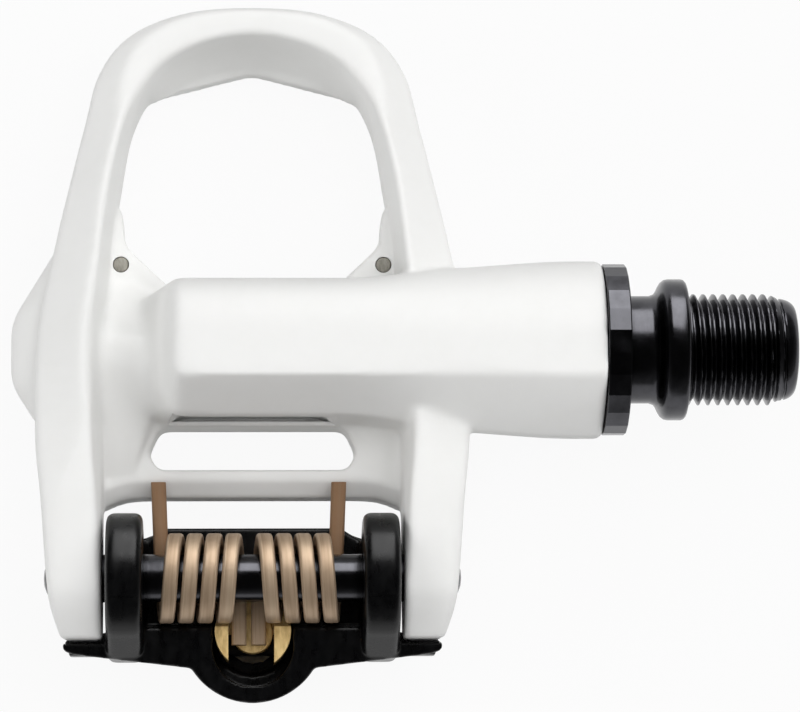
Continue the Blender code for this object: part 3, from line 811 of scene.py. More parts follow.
@dataclass(frozen=True)
class MouldedWhite(Finish):
    """White composite with a satin skin, as it leaves the mould."""

    slot: Slot = Slot.BODY_WHITE
    name: str = "moulded_white"
    pale: Triple = (0.86, 0.86, 0.848)
    dull: Triple = (0.848, 0.848, 0.834)
    cloud: float = 260.0  # clouds of tone in a metre
    pore: float = 3400.0  # pores of the mould's skin in a metre
    sink: float = 120.0  # shallow sink marks in a metre

    def paint(self, graph: Graph) -> None:
        """Clouded tone, uneven gloss, fine pores and shallow sink marks.

        Args:
            graph: Material to paint.
        """
        place = graph.grain()
        cloud = graph.noise(place, self.cloud, 4.0, 0.6)
        pores = graph.noise(place, self.pore, 2.0, 0.6)
        sinks = graph.noise(place, self.sink, 1.0)
        graph.set("Base Color", graph.tint(cloud, ((0.32, self.dull), (0.6, self.pale))))
        graph.set("Specular IOR Level", 0.30)
        graph.set("Roughness", graph.span(pores, 0.46, 0.58))
        graph.set("Normal", graph.relief(pores, 0.00003, 0.22, graph.relief(sinks, 0.0003, 0.04)))


@dataclass(frozen=True)
class BlackOxide(Finish):
    """Turned steel under black oxide."""

    slot: Slot = Slot.BLACK_STEEL
    name: str = "black_oxide"
    deep: Triple = (0.054, 0.054, 0.059)
    rubbed: Triple = (0.082, 0.082, 0.090)
    mark: float = 5200.0  # turning marks in a metre along the spindle
    patch: float = 420.0  # rubbed patches in a metre

    def paint(self, graph: Graph) -> None:
        """Turning marks round the spindle, rubbed patches and uneven gloss.

        Args:
            graph: Material to paint.
        """
        rings = graph.noise(graph.grain((1.0, 0.03, 0.03)), self.mark, 2.0, 0.6)
        patches = graph.noise(graph.grain(), self.patch, 4.0, 0.6)
        graph.set("Base Color", graph.tint(patches, ((0.35, self.deep), (0.75, self.rubbed))))
        graph.set("Metallic", 1.0)
        graph.set("Roughness", graph.span(patches, 0.17, 0.27))
        graph.set("Normal", graph.relief(rings, 0.00002, 0.25))


@dataclass(frozen=True)
class BlackComposite(Finish):
    """Black glass-filled composite with a fine grain."""

    slot: Slot = Slot.LATCH_BLACK
    name: str = "black_composite"
    deep: Triple = (0.0015, 0.0015, 0.0017)
    dusty: Triple = (0.004, 0.004, 0.0043)
    fibre: float = 900.0  # fibre clouds in a metre
    pore: float = 3800.0  # pores in a metre

    def paint(self, graph: Graph) -> None:
        """Fibre clouds in tone and gloss, and fine pores.

        Args:
            graph: Material to paint.
        """
        place = graph.grain()
        fibres = graph.noise(graph.grain((1.0, 0.45, 1.0)), self.fibre, 3.0, 0.6)
        pores = graph.noise(place, self.pore, 2.0, 0.6)
        graph.set("Base Color", graph.tint(fibres, ((0.35, self.deep), (0.7, self.dusty))))
        graph.set("Specular IOR Level", 0.26)
        graph.set("Roughness", graph.span(fibres, 0.25, 0.34))
        graph.set("Normal", graph.relief(pores, 0.00003, 0.25))


@dataclass(frozen=True)
class DrawnWire(Finish):
    """Bronze-toned flat spring wire with drawing lines."""

    slot: Slot = Slot.SPRING_BRONZE
    name: str = "drawn_wire"
    # tone of the outer leg: painted shade, darker and browner, for the leg that runs under the coil
    leg: Triple = (0.33, 0.195, 0.11)
    brown: Triple = (0.34, 0.235, 0.15)
    bronze: Triple = (0.48, 0.355, 0.245)
    straw: Triple = (0.58, 0.455, 0.32)
    leg_share: float = 0.038  # of the wire's rings

    def paint(self, graph: Graph) -> None:
        """Drawing lines along the wire, heat tints in long streaks, and painted shade that darkens the outer
        leg, which runs under the coil.

        Args:
            graph: Material to paint.
        """
        along = graph.part(graph.grain(grain=Grain.WIRE), "Y")
        # painted shade: the outer leg, which runs under the coil, is mapped down to the darker leg tone
        leg_shade = graph.span(along, 0.3, 1.0, 0.9 * self.leg_share, 1.2 * self.leg_share)
        streaks = graph.noise(graph.grain((26.0, 9.0, 1.0), Grain.WIRE), 1.0, 3.0, 0.6)
        lines = graph.noise(graph.grain((120.0, 14.0, 1.0), Grain.WIRE), 1.0, 2.0, 0.6)
        stops = ((0.14, self.leg), (0.30, self.brown), (0.52, self.bronze), (0.74, self.straw))
        tint = graph.tint(graph.times(streaks, leg_shade), stops)
        graph.set("Base Color", tint)
        graph.set("Metallic", 0.6)
        graph.set("Roughness", graph.span(lines, 0.42, 0.56))
        graph.set("Normal", graph.relief(lines, 0.00003, 0.35))


@dataclass(frozen=True)
class MachinedBrass(Finish):
    """Brass with the grain that its machining left."""

    slot: Slot = Slot.NUT_BRASS
    name: str = "machined_brass"
    tarnish: Triple = (0.64, 0.43, 0.17)
    yellow: Triple = (0.92, 0.67, 0.30)
    line: float = 7200.0  # grain lines in a metre

    def paint(self, graph: Graph) -> None:
        """Straight grain lines, and tarnish in small clouds.

        Args:
            graph: Material to paint.
        """
        lines = graph.noise(graph.grain((1.0, 0.05, 0.4)), self.line, 2.0, 0.6)
        clouds = graph.noise(graph.grain((1.0, 0.35, 1.0)), 1500.0, 3.0, 0.6)
        graph.set("Base Color", graph.tint(clouds, ((0.34, self.tarnish), (0.62, self.yellow))))
        graph.set("Metallic", 0.3)
        graph.set("Roughness", graph.span(lines, 0.34, 0.50))
        graph.set("Normal", graph.relief(lines, 0.00003, 0.35))


@dataclass(frozen=True)
class GroundSteel(Finish):
    """Bright steel with grinding marks."""

    slot: Slot = Slot.BRIGHT_STEEL
    name: str = "ground_steel"
    grey: Triple = (0.44, 0.43, 0.405)
    bright: Triple = (0.60, 0.59, 0.565)
    mark: float = 6000.0  # grinding marks in a metre

    def paint(self, graph: Graph) -> None:
        """Grinding marks across the piece, and a clouded tone.

        Args:
            graph: Material to paint.
        """
        marks = graph.noise(graph.grain((0.06, 1.0, 1.0)), self.mark, 2.0, 0.6)
        clouds = graph.noise(graph.grain(), 1200.0, 3.0, 0.6)
        graph.set("Base Color", graph.tint(clouds, ((0.35, self.grey), (0.65, self.bright))))
        graph.set("Metallic", 1.0)
        graph.set("Roughness", graph.span(marks, 0.30, 0.44))
        graph.set("Normal", graph.relief(marks, 0.00002, 0.30))


@dataclass(frozen=True)
class WornSteel(Finish):
    """Steel that cleats have rubbed dull."""

    slot: Slot = Slot.BRIGHT_STEEL
    name: str = "worn_steel"
    dull: Triple = (0.22, 0.208, 0.178)
    scuffed: Triple = (0.36, 0.345, 0.30)
    scuff: float = 2600.0  # scuffs in a metre

    def paint(self, graph: Graph) -> None:
        """Scuffs in one direction over a brownish dull skin.

        Args:
            graph: Material to paint.
        """
        scuffs = graph.noise(graph.grain((1.0, 0.3, 1.0)), self.scuff, 3.0, 0.65)
        graph.set("Base Color", graph.tint(scuffs, ((0.36, self.dull), (0.64, self.scuffed))))
        graph.set("Metallic", 0.35)
        graph.set("Roughness", graph.span(scuffs, 0.52, 0.68))
        graph.set("Normal", graph.relief(scuffs, 0.00003, 0.35))


@dataclass(frozen=True)
class SealRubber(Finish):
    """Black nitrile rubber with a dull bloom."""

    slot: Slot = Slot.SEAL_RUBBER
    name: str = "nitrile_rubber"
    black: Triple = (0.012, 0.012, 0.012)
    bloom: Triple = (0.028, 0.028, 0.028)

    def paint(self, graph: Graph) -> None:
        """Bloom in clouds, and a fine matt skin.

        Args:
            graph: Material to paint.
        """
        clouds = graph.noise(graph.grain(), 900.0, 3.0, 0.6)
        skin = graph.noise(graph.grain(), 4200.0, 2.0, 0.6)
        graph.set("Base Color", graph.tint(clouds, ((0.35, self.black), (0.7, self.bloom))))
        graph.set("Roughness", graph.span(clouds, 0.62, 0.78))
        graph.set("Normal", graph.relief(skin, 0.00003, 0.3))


@dataclass
class Datum:
    """Where the pedal's own axes stand in the frame."""

    origin: Vector  # spindle axis at the cleat's centre line
    pin_y: float  # latch pin, from the spindle axis
    boss_y: float  # tension screw, from the spindle axis

    @classmethod
    def of(cls, frame: dict[str, Any]) -> Datum:
        """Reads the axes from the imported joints.

        Args:
            frame: The loaded frame.

        Returns:
            The datum of the pedal.
        """
        joints = {joint["name"]: joint for joint in frame["record"]["behaviour"]["joints"]}
        _, axis_y, axis_z = joints["spindle_spin"]["pos_m"]
        centre_x, pin_y, _ = joints["latch_pivot"]["pos_m"]
        boss_y = joints["tension_screw_turn"]["pos_m"][1]
        return cls(Vector((centre_x, axis_y, axis_z)), pin_y - axis_y, boss_y - axis_y)


@dataclass
class Assembly:
    """A part of the pedal with its sizes and pieces."""

    datum: Datum

    def place(self, piece: Piece, finish: Finish, nodes: Sequence[str], angle: float = 40.0) -> Piece:
        """Moves a modelled piece into the frame and dresses it.

        Args:
            piece: Piece in the pedal's own axes.
            finish: Its finish.
            nodes: CAD nodes that it stands for.
            angle: Edges sharper than this many degrees stay sharp.

        Returns:
            The finished piece.
        """
        Bench.move(piece, self.datum.origin)
        Bench.shade(piece, angle)
        finish.dress(piece)
        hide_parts(*nodes)
        LOG.info("%s: %d faces in %s", piece.name, len(piece.data.polygons), finish.name)
        return piece


@dataclass(frozen=True)
class RailStation:
    """One section of a rail at +X. Shares run across its width, from the outer side."""

    outer: Flat
    inner: Flat
    bottom: float
    top: float
    slope: float  # height of the outer slope
    ridge: float  # share at which the outer slope reaches the top
    flat: float  # share at which the inner slope begins
    fall: float  # height of the inner slope
    foot: float = 0.0  # share beyond the inner side at which the slope meets the platform

    def row(self) -> list[float]:
        """All numbers of the section in one row."""
        shape = (self.bottom, self.top, self.slope, self.ridge, self.flat, self.fall, self.foot)
        return [*self.outer, *self.inner, *shape]


@dataclass
class PedalBody(Assembly):
    """The white moulding: rails round the nose, platform, axle barrel and outboard pad."""

    fit: float = 0.0003
    arm_inner: float = 0.0193
    platform_bottom: float = -0.0115
    platform_top: float = -0.0059
    platform_half: float = 0.0210
    crossbar_rear: float = -0.0159
    crossbar_draft: float = 0.0021
    crossbar_width: float = 0.0014
    crossbar_foot: float = -0.0077
    gusset_from: float = 0.0159
    gusset_reach: float = 0.0015
    gusset_ease: float = 0.0030
    slot_half: float = 0.0133
    slot_chamfer: float = 0.0022
    slot_front: float = -0.0090
    loop_rear_half: float = 0.0099
    loop_half: float = 0.0164
    loop_corner: float = 0.0061
    web_length: float = 0.0080
    web_knee: float = 0.6
    loop_ease: float = 0.0014
    barrel_end: float = 0.0443
    barrel_radius: float = 0.0110
    barrel_half: float = 0.0088
    barrel_crest: float = 0.0105
    barrel_end_crest: float = 0.0101
    barrel_crest_half: float = 0.0047
    barrel_shoulder: float = 0.0030
    barrel_end_shoulder: float = 0.0008
    barrel_power: float = 2.7  # how square its side towards the nose is
    barrel_rounding: float = 0.3  # how far its facets turn round at the collar
    barrel_flat_from: float = -0.0097
    barrel_toe: float = -0.0165
    barrel_flat_to: float = 0.0120
    barrel_round_from: float = 0.0270
    barrel_points: int = 96
    barrel_nose: tuple[Triple, ...] = (  # share of the toe's length, of the height and of the width
        (0.0, 0.03, 0.56),
        (0.25, 0.13, 0.76),
        (0.5, 0.32, 0.88),
        (0.74, 0.62, 0.95),
        (0.9, 0.88, 0.99),
        (1.0, 1.0, 1.0),
    )
    barrel_flare: tuple[Flat, ...] = (  # place along the spindle and radius, where it is round
        (0.0270, 0.01045),
        (0.0315, 0.0108),
        (0.0370, 0.0112),
        (0.0405, 0.0113),
        (0.0436, 0.0113),
        (0.0440, 0.01115),
        (0.0443, 0.0108),
    )
    hollow_x: Flat = (-0.0112, 0.0108)  # dark gap under the barrel's rear edge
    hollow_y: Triple = (-0.0090, -0.0084, -0.0075)  # before the wall, at the lip, and its back
    hollow_z: Triple = (-0.0090, -0.0056, 0.0014)  # floor, top of the lip, and ceiling
    hollow_taper: float = 0.0024
    shoulder_low: float = -0.0070
    shoulder_top: float = 0.0004
    shoulder_foot: tuple[Flat, ...] = (  # outline of the raised web at its foot
        (-0.0215, -0.0185),
        (-0.0158, -0.0178),
        (-0.0120, -0.0085),
        (-0.0120, 0.0092),
        (-0.0150, 0.0112),
        (-0.0215, 0.0130),
    )
    shoulder_crown: tuple[Flat, ...] = (  # and at its top
        (-0.0215, -0.0014),
        (-0.0150, -0.0014),
        (-0.0115, -0.0014),
        (-0.0115, 0.0014),
        (-0.0150, 0.0014),
        (-0.0215, 0.0014),
    )
    bulge_reach: float = 0.0309
    bulge_root: float = 0.0234
    bulge_front: float = 0.0170
    bulge_flat_front: float = 0.0046
    bulge_flat_rear: float = -0.0034
    bulge_rear: float = -0.0150
    bulge_bottom: float = -0.0090
    bulge_top: float = -0.0024
    bulge_crown: float = 0.0036
    bulge_round: float = 0.0020  # rounding of its corners, seen from above
    nose_bottom: float = -0.0165
    lip_thickness: float = 0.0028
    lip_apex: Flat = (0.0008, 0.0390)
    lip_corner: Flat = (0.0139, 0.0356)
    scoop_reach: float = 0.0030  # slope under the nose, from the wall to the lip
    scoop_top: float = -0.0046
    scoop_hollow: float = 0.62  # how much flatter it gets towards the lip
    shank_end: float = 0.0363
    counterbore: float = 0.0089
    bore: float = 0.0075
    bore_end: float = -0.0055
    pin_hole: float = 0.0033
    wear_x: float = 0.0169
    wear_y: float = 0.0121
    wear_hole: float = 0.00106
    wear_seat: float = 0.0020
    wear_seat_depth: float = 0.0011
    rail_tuck: float = 0.12
    rail_steps: int = 7
    rail_ease: tuple[float, ...] = (0.0010, 0.0012, 0.0009, 0.0006, 0.0009, 0.0010, 0.0008)
    voxel: float = 0.00036
    passes: int = 7
    most_faces: int = 170_000
    soft_places: tuple[tuple[int, Triple, Triple], ...] = (  # passes, centre and reach
        (150, (-0.0128, -0.0020, 0.0030), (0.0090, 0.0130, 0.0115)),
        (30, (0.0210, -0.0105, 0.0010), (0.0070, 0.0070, 0.0110)),
    )
    stations: tuple[RailStation, ...] = (
        RailStation((0.0242, -0.0366), (0.0189, -0.0366), -0.0050, 0.0008, 0.0009, 0.14, 0.92, 0.0006),
        RailStation((0.0254, -0.03285), (0.0189, -0.03285), -0.0060, 0.0038, 0.0009, 0.14, 0.92, 0.0006),
        RailStation((0.0259, -0.0291), (0.0189, -0.0291), -0.0062, 0.0050, 0.0008, 0.16, 0.92, 0.0006),
        RailStation((0.0267, -0.0190), (0.0190, -0.0190), -0.0095, 0.0052, 0.0010, 0.34, 0.90, 0.0030),
        RailStation((0.0275, -0.0110), (0.0191, -0.0110), -0.0112, 0.0051, 0.0028, 0.70, 0.86, 0.0080, 0.02),
        RailStation((0.0274, 0.0020), (0.0187, 0.0020), -0.0112, 0.0048, 0.0044, 0.66, 0.80, 0.0076, 0.10),
        RailStation((0.0252, 0.0140), (0.0184, 0.0130), -0.0112, 0.0036, 0.0042, 0.76, 0.88, 0.0080, 0.02),
        RailStation((0.0235, 0.0220), (0.0170, 0.0220), -0.0112, 0.0018, 0.0038, 0.68, 0.82, 0.0080),
        RailStation((0.0217, 0.0300), (0.0158, 0.0296), -0.0134, -0.0004, 0.0034, 0.72, 0.88, 0.0060),
        RailStation((0.0199, 0.0372), (0.0138, 0.0348), -0.0152, -0.0020, 0.0030, 0.52, 0.91, 0.0014),
        RailStation((0.0159, 0.0424), (0.0110, 0.0384), -0.0162, -0.0029, 0.0026, 0.34, 0.91, 0.0008),
        RailStation((0.0088, 0.0454), (0.0062, 0.0410), -0.0165, -0.0034, 0.0022, 0.24, 0.91, 0.0006),
        RailStation((0.0000, 0.0462), (0.0000, 0.0421), -0.0165, -0.0036, 0.0022, 0.22, 0.91, 0.0006),
    )

    def rail_rows(self) -> list[list[float]]:
        """Rows of section numbers from one arm round the nose to the other.

        Returns:
            The rows.
        """
        half = [station.row() for station in self.stations]
        other = [[-row[0], row[1], -row[2], *row[3:]] for row in reversed(half[:-1])]
        return Draft.through([*half, *other], self.rail_steps)

    def rail_ring(self, row: Sequence[float]) -> Ring:
        """Rounded section of a rail.

        Args:
            row: The section's numbers.

        Returns:
            Points round the section.
        """
        outer_x, outer_y, inner_x, inner_y, bottom, top, slope, ridge, flat, fall, foot = row
        outer = Vector((outer_x, outer_y, 0.0))
        across = Vector((inner_x, inner_y, 0.0)) - outer
        up = Vector((0.0, 0.0, 1.0))
        low = max(min(self.platform_top, top - fall) - self.fit, bottom + self.fit)
        corners = [
            outer + across * share + up * height
            for share, height in (
                (self.rail_tuck, bottom),
                (0.0, top - slope),
                (ridge, top),
                (flat, top),
                (1.0, top - fall),
                (1.0 + foot, low),
                (1.0 + foot, bottom),
            )
        ]
        return Draft.eased(corners, self.rail_ease)

    def rails(self) -> Piece:
        """Both rails and the nose, as one skin."""
        return Bench.skin("pedal_body", [self.rail_ring(row) for row in self.rail_rows()])

    def barrel_reach(self, angle: float, turn: float, radius: float) -> float:
        """Distance from the axis to the barrel's section, in one direction.

        Args:
            angle: Direction, from the nose's side upwards.
            turn: From flat-sided, 0, to round, 1.
            radius: Radius of the round section.

        Returns:
            The distance.
        """
        across, up = math.cos(angle), math.sin(angle)
        crest = self.barrel_crest + (self.barrel_end_crest - self.barrel_crest) * turn
        half = self.barrel_half + (radius - self.barrel_half) * turn
        if across > 0 and up > 0:
            power = self.barrel_power + (2.0 - self.barrel_power) * turn
            return ((across / half) ** power + (up / crest) ** power) ** (-1 / power)
        across = abs(across)
        shoulder = self.barrel_shoulder + (self.barrel_end_shoulder - self.barrel_shoulder) * turn
        slant = Vector((crest - shoulder, half - self.barrel_crest_half)).normalized()
        sides = (
            (half, across),
            (slant.dot((half, shoulder)), slant.dot((across, up))),
            (crest, up),
            (radius, -up),
        )
        flat_sided = min(distance / share for distance, share in sides if share > 0)
        rounded = min(radius, crest / up) if up > 0 else radius
        under = min(max(-3 * up, 0.0), 1.0)
        turn *= self.barrel_rounding + (1 - self.barrel_rounding) * under
        return flat_sided * (1 - turn) + rounded * turn

    def barrel_ring(self, x: float, height: float, width: float, turn: float, radius: float) -> Ring:
        """One section of the barrel.

        Args:
            x: Its place along the spindle.
            height: Share of the full height over the platform.
            width: Share of the full width.
            turn: From flat-sided, 0, to round, 1.
            radius: Radius of the round section.

        Returns:
            Points round the section.
        """
        floor = self.platform_top
        points: Ring = []
        for i in range(self.barrel_points):
            angle = 2 * math.pi * (i + 0.5) / self.barrel_points
            reach = self.barrel_reach(angle, turn, radius)
            y, z = reach * math.cos(angle) * width, reach * math.sin(angle)
            points.append(Vector((x, y, floor + (z - floor) * height if z > floor else z)))
        return points

    def barrel(self) -> Piece:
        """Flat-sided tube with a hollow slope at its outboard end, turning round towards the crank.

        Returns:
            The barrel.
        """
        toe = self.barrel_flat_from - self.barrel_toe
        rings = [
            self.barrel_ring(self.barrel_toe + share * toe, height, width, 0.0, self.barrel_radius)
            for share, height, width in Draft.through(self.barrel_nose, 4)
        ]
        steps = 8
        first = self.barrel_flare[0][1]
        for step in range(steps):
            turn = step / steps
            x = self.barrel_flat_to + turn * (self.barrel_round_from - self.barrel_flat_to)
            rings.append(self.barrel_ring(x, 1.0, 1.0, turn * turn * (3 - 2 * turn), first))
        rings += [self.barrel_ring(x, 1.0, 1.0, 1.0, radius) for x, radius in self.barrel_flare]
        return Bench.skin("barrel", rings)

    def platform(self) -> Piece:
        """Plate between the rails, with its slot, crossbar and corner gussets.

        Returns:
            The plate.
        """
        loop_rear = self.barrel_half - self.fit
        corner = loop_rear + self.loop_corner
        front = [
            (self.loop_rear_half, loop_rear),
            (self.loop_half, corner),
            (self.loop_half + self.fit, corner + self.web_knee * self.web_length),
            (self.platform_half, corner + self.web_length),
        ]
        rings = []
        foot = self.crossbar_rear - self.crossbar_draft
        levels = (
            (self.platform_bottom, foot),
            (self.crossbar_foot, foot),
            (self.platform_top, self.crossbar_rear),
        )
        ease = [self.loop_ease] * len(front) + [self.fit, self.fit, self.gusset_ease]
        for z, rear in levels:
            gusset = rear - self.gusset_reach
            half = [*front, (self.platform_half, gusset), (self.arm_inner, gusset), (self.gusset_from, rear)]
            outline = Draft.mirrored([Vector(point) for point in half])
            rings.append(Draft.lifted(Draft.eased(outline, [*ease, *reversed(ease)]), z))
        plate = Bench.skin("platform", rings)
        rear = self.crossbar_rear + self.crossbar_width
        hole = [
            Vector((self.slot_half - 0.7 * self.slot_chamfer, self.slot_front)),
            Vector((self.slot_half, rear + self.slot_chamfer)),
            Vector((self.slot_half - self.slot_chamfer / 2, rear)),
        ]
        past = 2 * self.fit
        outline = Draft.eased(Draft.mirrored(hole), 0.0010)
        return Bench.cut(
            plate, Bench.plate("slot", outline, self.platform_bottom - past, self.platform_top + past)
        )

    def nose_lip(self) -> Piece:
        """Plate under the nose that holds the front of a cleat, with a slightly pointed edge.

        Returns:
            The lip.
        """
        roots = [(Vector(s.outer) + Vector(s.inner)) / 2 for s in reversed(self.stations[-4:-1])]
        half = [*roots, Vector(self.lip_corner), Vector(self.lip_apex)]
        bottom = self.nose_bottom
        return Bench.plate("nose_lip", Draft.mirrored(half), bottom + self.fit, bottom + self.lip_thickness)

    def nose_scoop(self) -> Piece:
        """Hollow slope from the nose's inner wall down to the lip.

        Returns:
            The slope.
        """
        stations = [*self.stations[-4:]]
        half = [[*s.inner, *((Vector(s.outer) + Vector(s.inner)) / 2)] for s in stations]
        other = [[-row[0], row[1], -row[2], row[3]] for row in reversed(half[:-1])]
        lip_top = self.nose_bottom + self.lip_thickness - self.fit
        rings = []
        rows = Draft.through([*half, *other], 5)
        for i, (inner_x, inner_y, root_x, root_y) in enumerate(rows):
            reach = self.scoop_reach * (1 - abs(2 * i / (len(rows) - 1) - 1) ** 4)
            inner, root = Vector((inner_x, inner_y)), Vector((root_x, root_y))
            inward = (inner - root).normalized()
            ring = []
            for step in range(9):
                down = step / 8
                out = (1 - self.scoop_hollow) * down + self.scoop_hollow * down**3
                point = inner + inward * reach * out
                z = self.scoop_top + (lip_top - self.scoop_top) * down
                ring.append(Vector((point.x, point.y, z)))
            ring.append(Vector((root.x, root.y, lip_top)))
            ring.append(Vector((root.x, root.y, self.scoop_top)))
            rings.append(ring)
        return Bench.skin("nose_scoop", rings)

    def shoulder(self) -> Piece:
        """Raised web between the outboard rail and the barrel's end."""
        levels = ((self.shoulder_foot, self.shoulder_low), (self.shoulder_crown, self.shoulder_top))
        return Bench.skin("shoulder", [Draft.lifted([Vector(p) for p in ring], z) for ring, z in levels])

    def bulge(self) -> Piece:
        """Rounded pad on the outboard side, level with the barrel.

        Returns:
            The pad.
        """
        rings = []
        levels = (
            (self.bulge_bottom, self.bulge_crown / 4),
            (self.bulge_bottom + self.bulge_crown / 3, 0.0),
            (self.bulge_top - self.bulge_crown, 0.0),
            (self.bulge_top - 0.78 * self.bulge_crown, 0.06 * self.bulge_crown),
            (self.bulge_top - 0.5 * self.bulge_crown, 0.28 * self.bulge_crown),
            (self.bulge_top - 0.2 * self.bulge_crown, 0.62 * self.bulge_crown),
            (self.bulge_top, self.bulge_crown),
        )
        for z, inset in levels:
            reach = inset - self.bulge_reach
            outline = [
                Vector((-self.bulge_root, self.bulge_front)),
                Vector((reach, self.bulge_flat_front)),
                Vector((reach, self.bulge_flat_rear)),
                Vector((-self.bulge_root, self.bulge_rear)),
            ]
            eased = Draft.eased(outline, (self.fit, self.bulge_round, self.bulge_round, self.fit), 6)
            rings.append(Draft.lifted(eased, z))
        return Bench.skin("bulge", rings)

    def bores(self) -> list[Piece]:
        """Cutters for the axle's bore, the latch pin and the wear pins.

        Returns:
            The cutters.
        """
        axle = [
            (self.bore_end, 0.0),
            (self.bore_end, self.bore),
            (self.shank_end - self.fit, self.bore),
            (self.shank_end - self.fit, self.counterbore),
            (self.barrel_end + 0.001, self.counterbore),
            (self.barrel_end + 0.001, 0.0),
        ]
        reach = 2 * self.arm_inner
        cutters = [
            Bench.turned("axle_bore", axle),
            Bench.rod("pin_bore", -reach, reach, self.pin_hole, centre=(self.datum.pin_y, 0.0)),
        ]
        seat = self.platform_bottom + self.wear_seat_depth
        profile = [
            (self.platform_bottom - 0.001, 0.0),
            (self.platform_bottom - 0.001, self.wear_seat),
            (seat, self.wear_seat),
            (seat, self.wear_hole),
            (self.platform_top + 0.001, self.wear_hole),
            (self.platform_top + 0.001, 0.0),
        ]
        for side in Side:
            where = (side.value * self.wear_x, self.wear_y)
            cutters.append(Bench.turned("wear_hole", profile, Axis.UPRIGHT, where, 32))
        return cutters

    def undercut(self) -> list[Piece]:
        """Cutters for the gap under the barrel's rear edge, along the slot.

        Returns:
            The cutters.
        """
        before, lip, back = self.hollow_y
        floor, lip_top, ceiling = self.hollow_z
        cutters = []
        for front, bottom, top in ((before, lip_top, ceiling), (lip, floor, lip_top + self.fit)):
            from_x, to_x = self.hollow_x
            taper = self.hollow_taper
            corners = ((from_x + taper, back), (from_x, front), (to_x, front), (to_x - taper, back))
            cutters.append(Bench.plate("undercut", [Vector(corner) for corner in corners], bottom, top))
        return cutters

    def build(self, finish: Finish) -> None:
        """Models the moulding and puts it in place of the CAD body.

        Args:
            finish: Finish to put on.
        """
        body = self.rails()
        webs = (self.platform(), self.shoulder(), self.nose_lip(), self.nose_scoop())
        Bench.gather(body, self.barrel(), self.bulge(), *webs)
        Bench.melt(body, self.voxel, self.passes)
        for passes, centre, reach in self.soft_places:
            Bench.relax(body, passes, centre, reach)
        Bench.thin(body, self.most_faces)
        Bench.cut(body, *self.bores(), *self.undercut())
        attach(self.place(body, finish, ["pedal_body"], 50.0), Body.PEDAL.value)


@dataclass
class WearPins(Assembly):
    """Steel pins at the rear corners of the loop, which the cleat rubs on."""

    x: float = 0.0169
    y: float = 0.0121
    radius: float = 0.0010
    bottom: float = -0.0115
    top: float = -0.0059
    head_radius: float = 0.0017
    head_height: float = 0.0008
    edge: float = 0.0002

    def build(self, finish: Finish) -> None:
        """Models one pin and copies it to the other side.

        Args:
            finish: Finish to put on.
        """
        head = self.bottom + self.head_height
        profile = [
            (self.bottom, 0.0),
            (self.bottom, self.head_radius - self.edge),
            (self.bottom + self.edge, self.head_radius),
            (head, self.head_radius),
            (head, self.radius),
            (self.top - self.edge, self.radius),
            (self.top - self.edge / 3, self.radius - self.edge / 2),
            (self.top, self.radius - 2 * self.edge),
            (self.top, 0.0),
        ]
        for side, node in ((Side.OUTBOARD, "wear_pin_outboard"), (Side.CRANK, "wear_pin_inboard")):
            where = (side.value * self.x, self.y)
            pin = Bench.turned(f"{node}_detail", profile, Axis.UPRIGHT, where, 40)
            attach(self.place(pin, finish, [node]), Body.PEDAL.value)


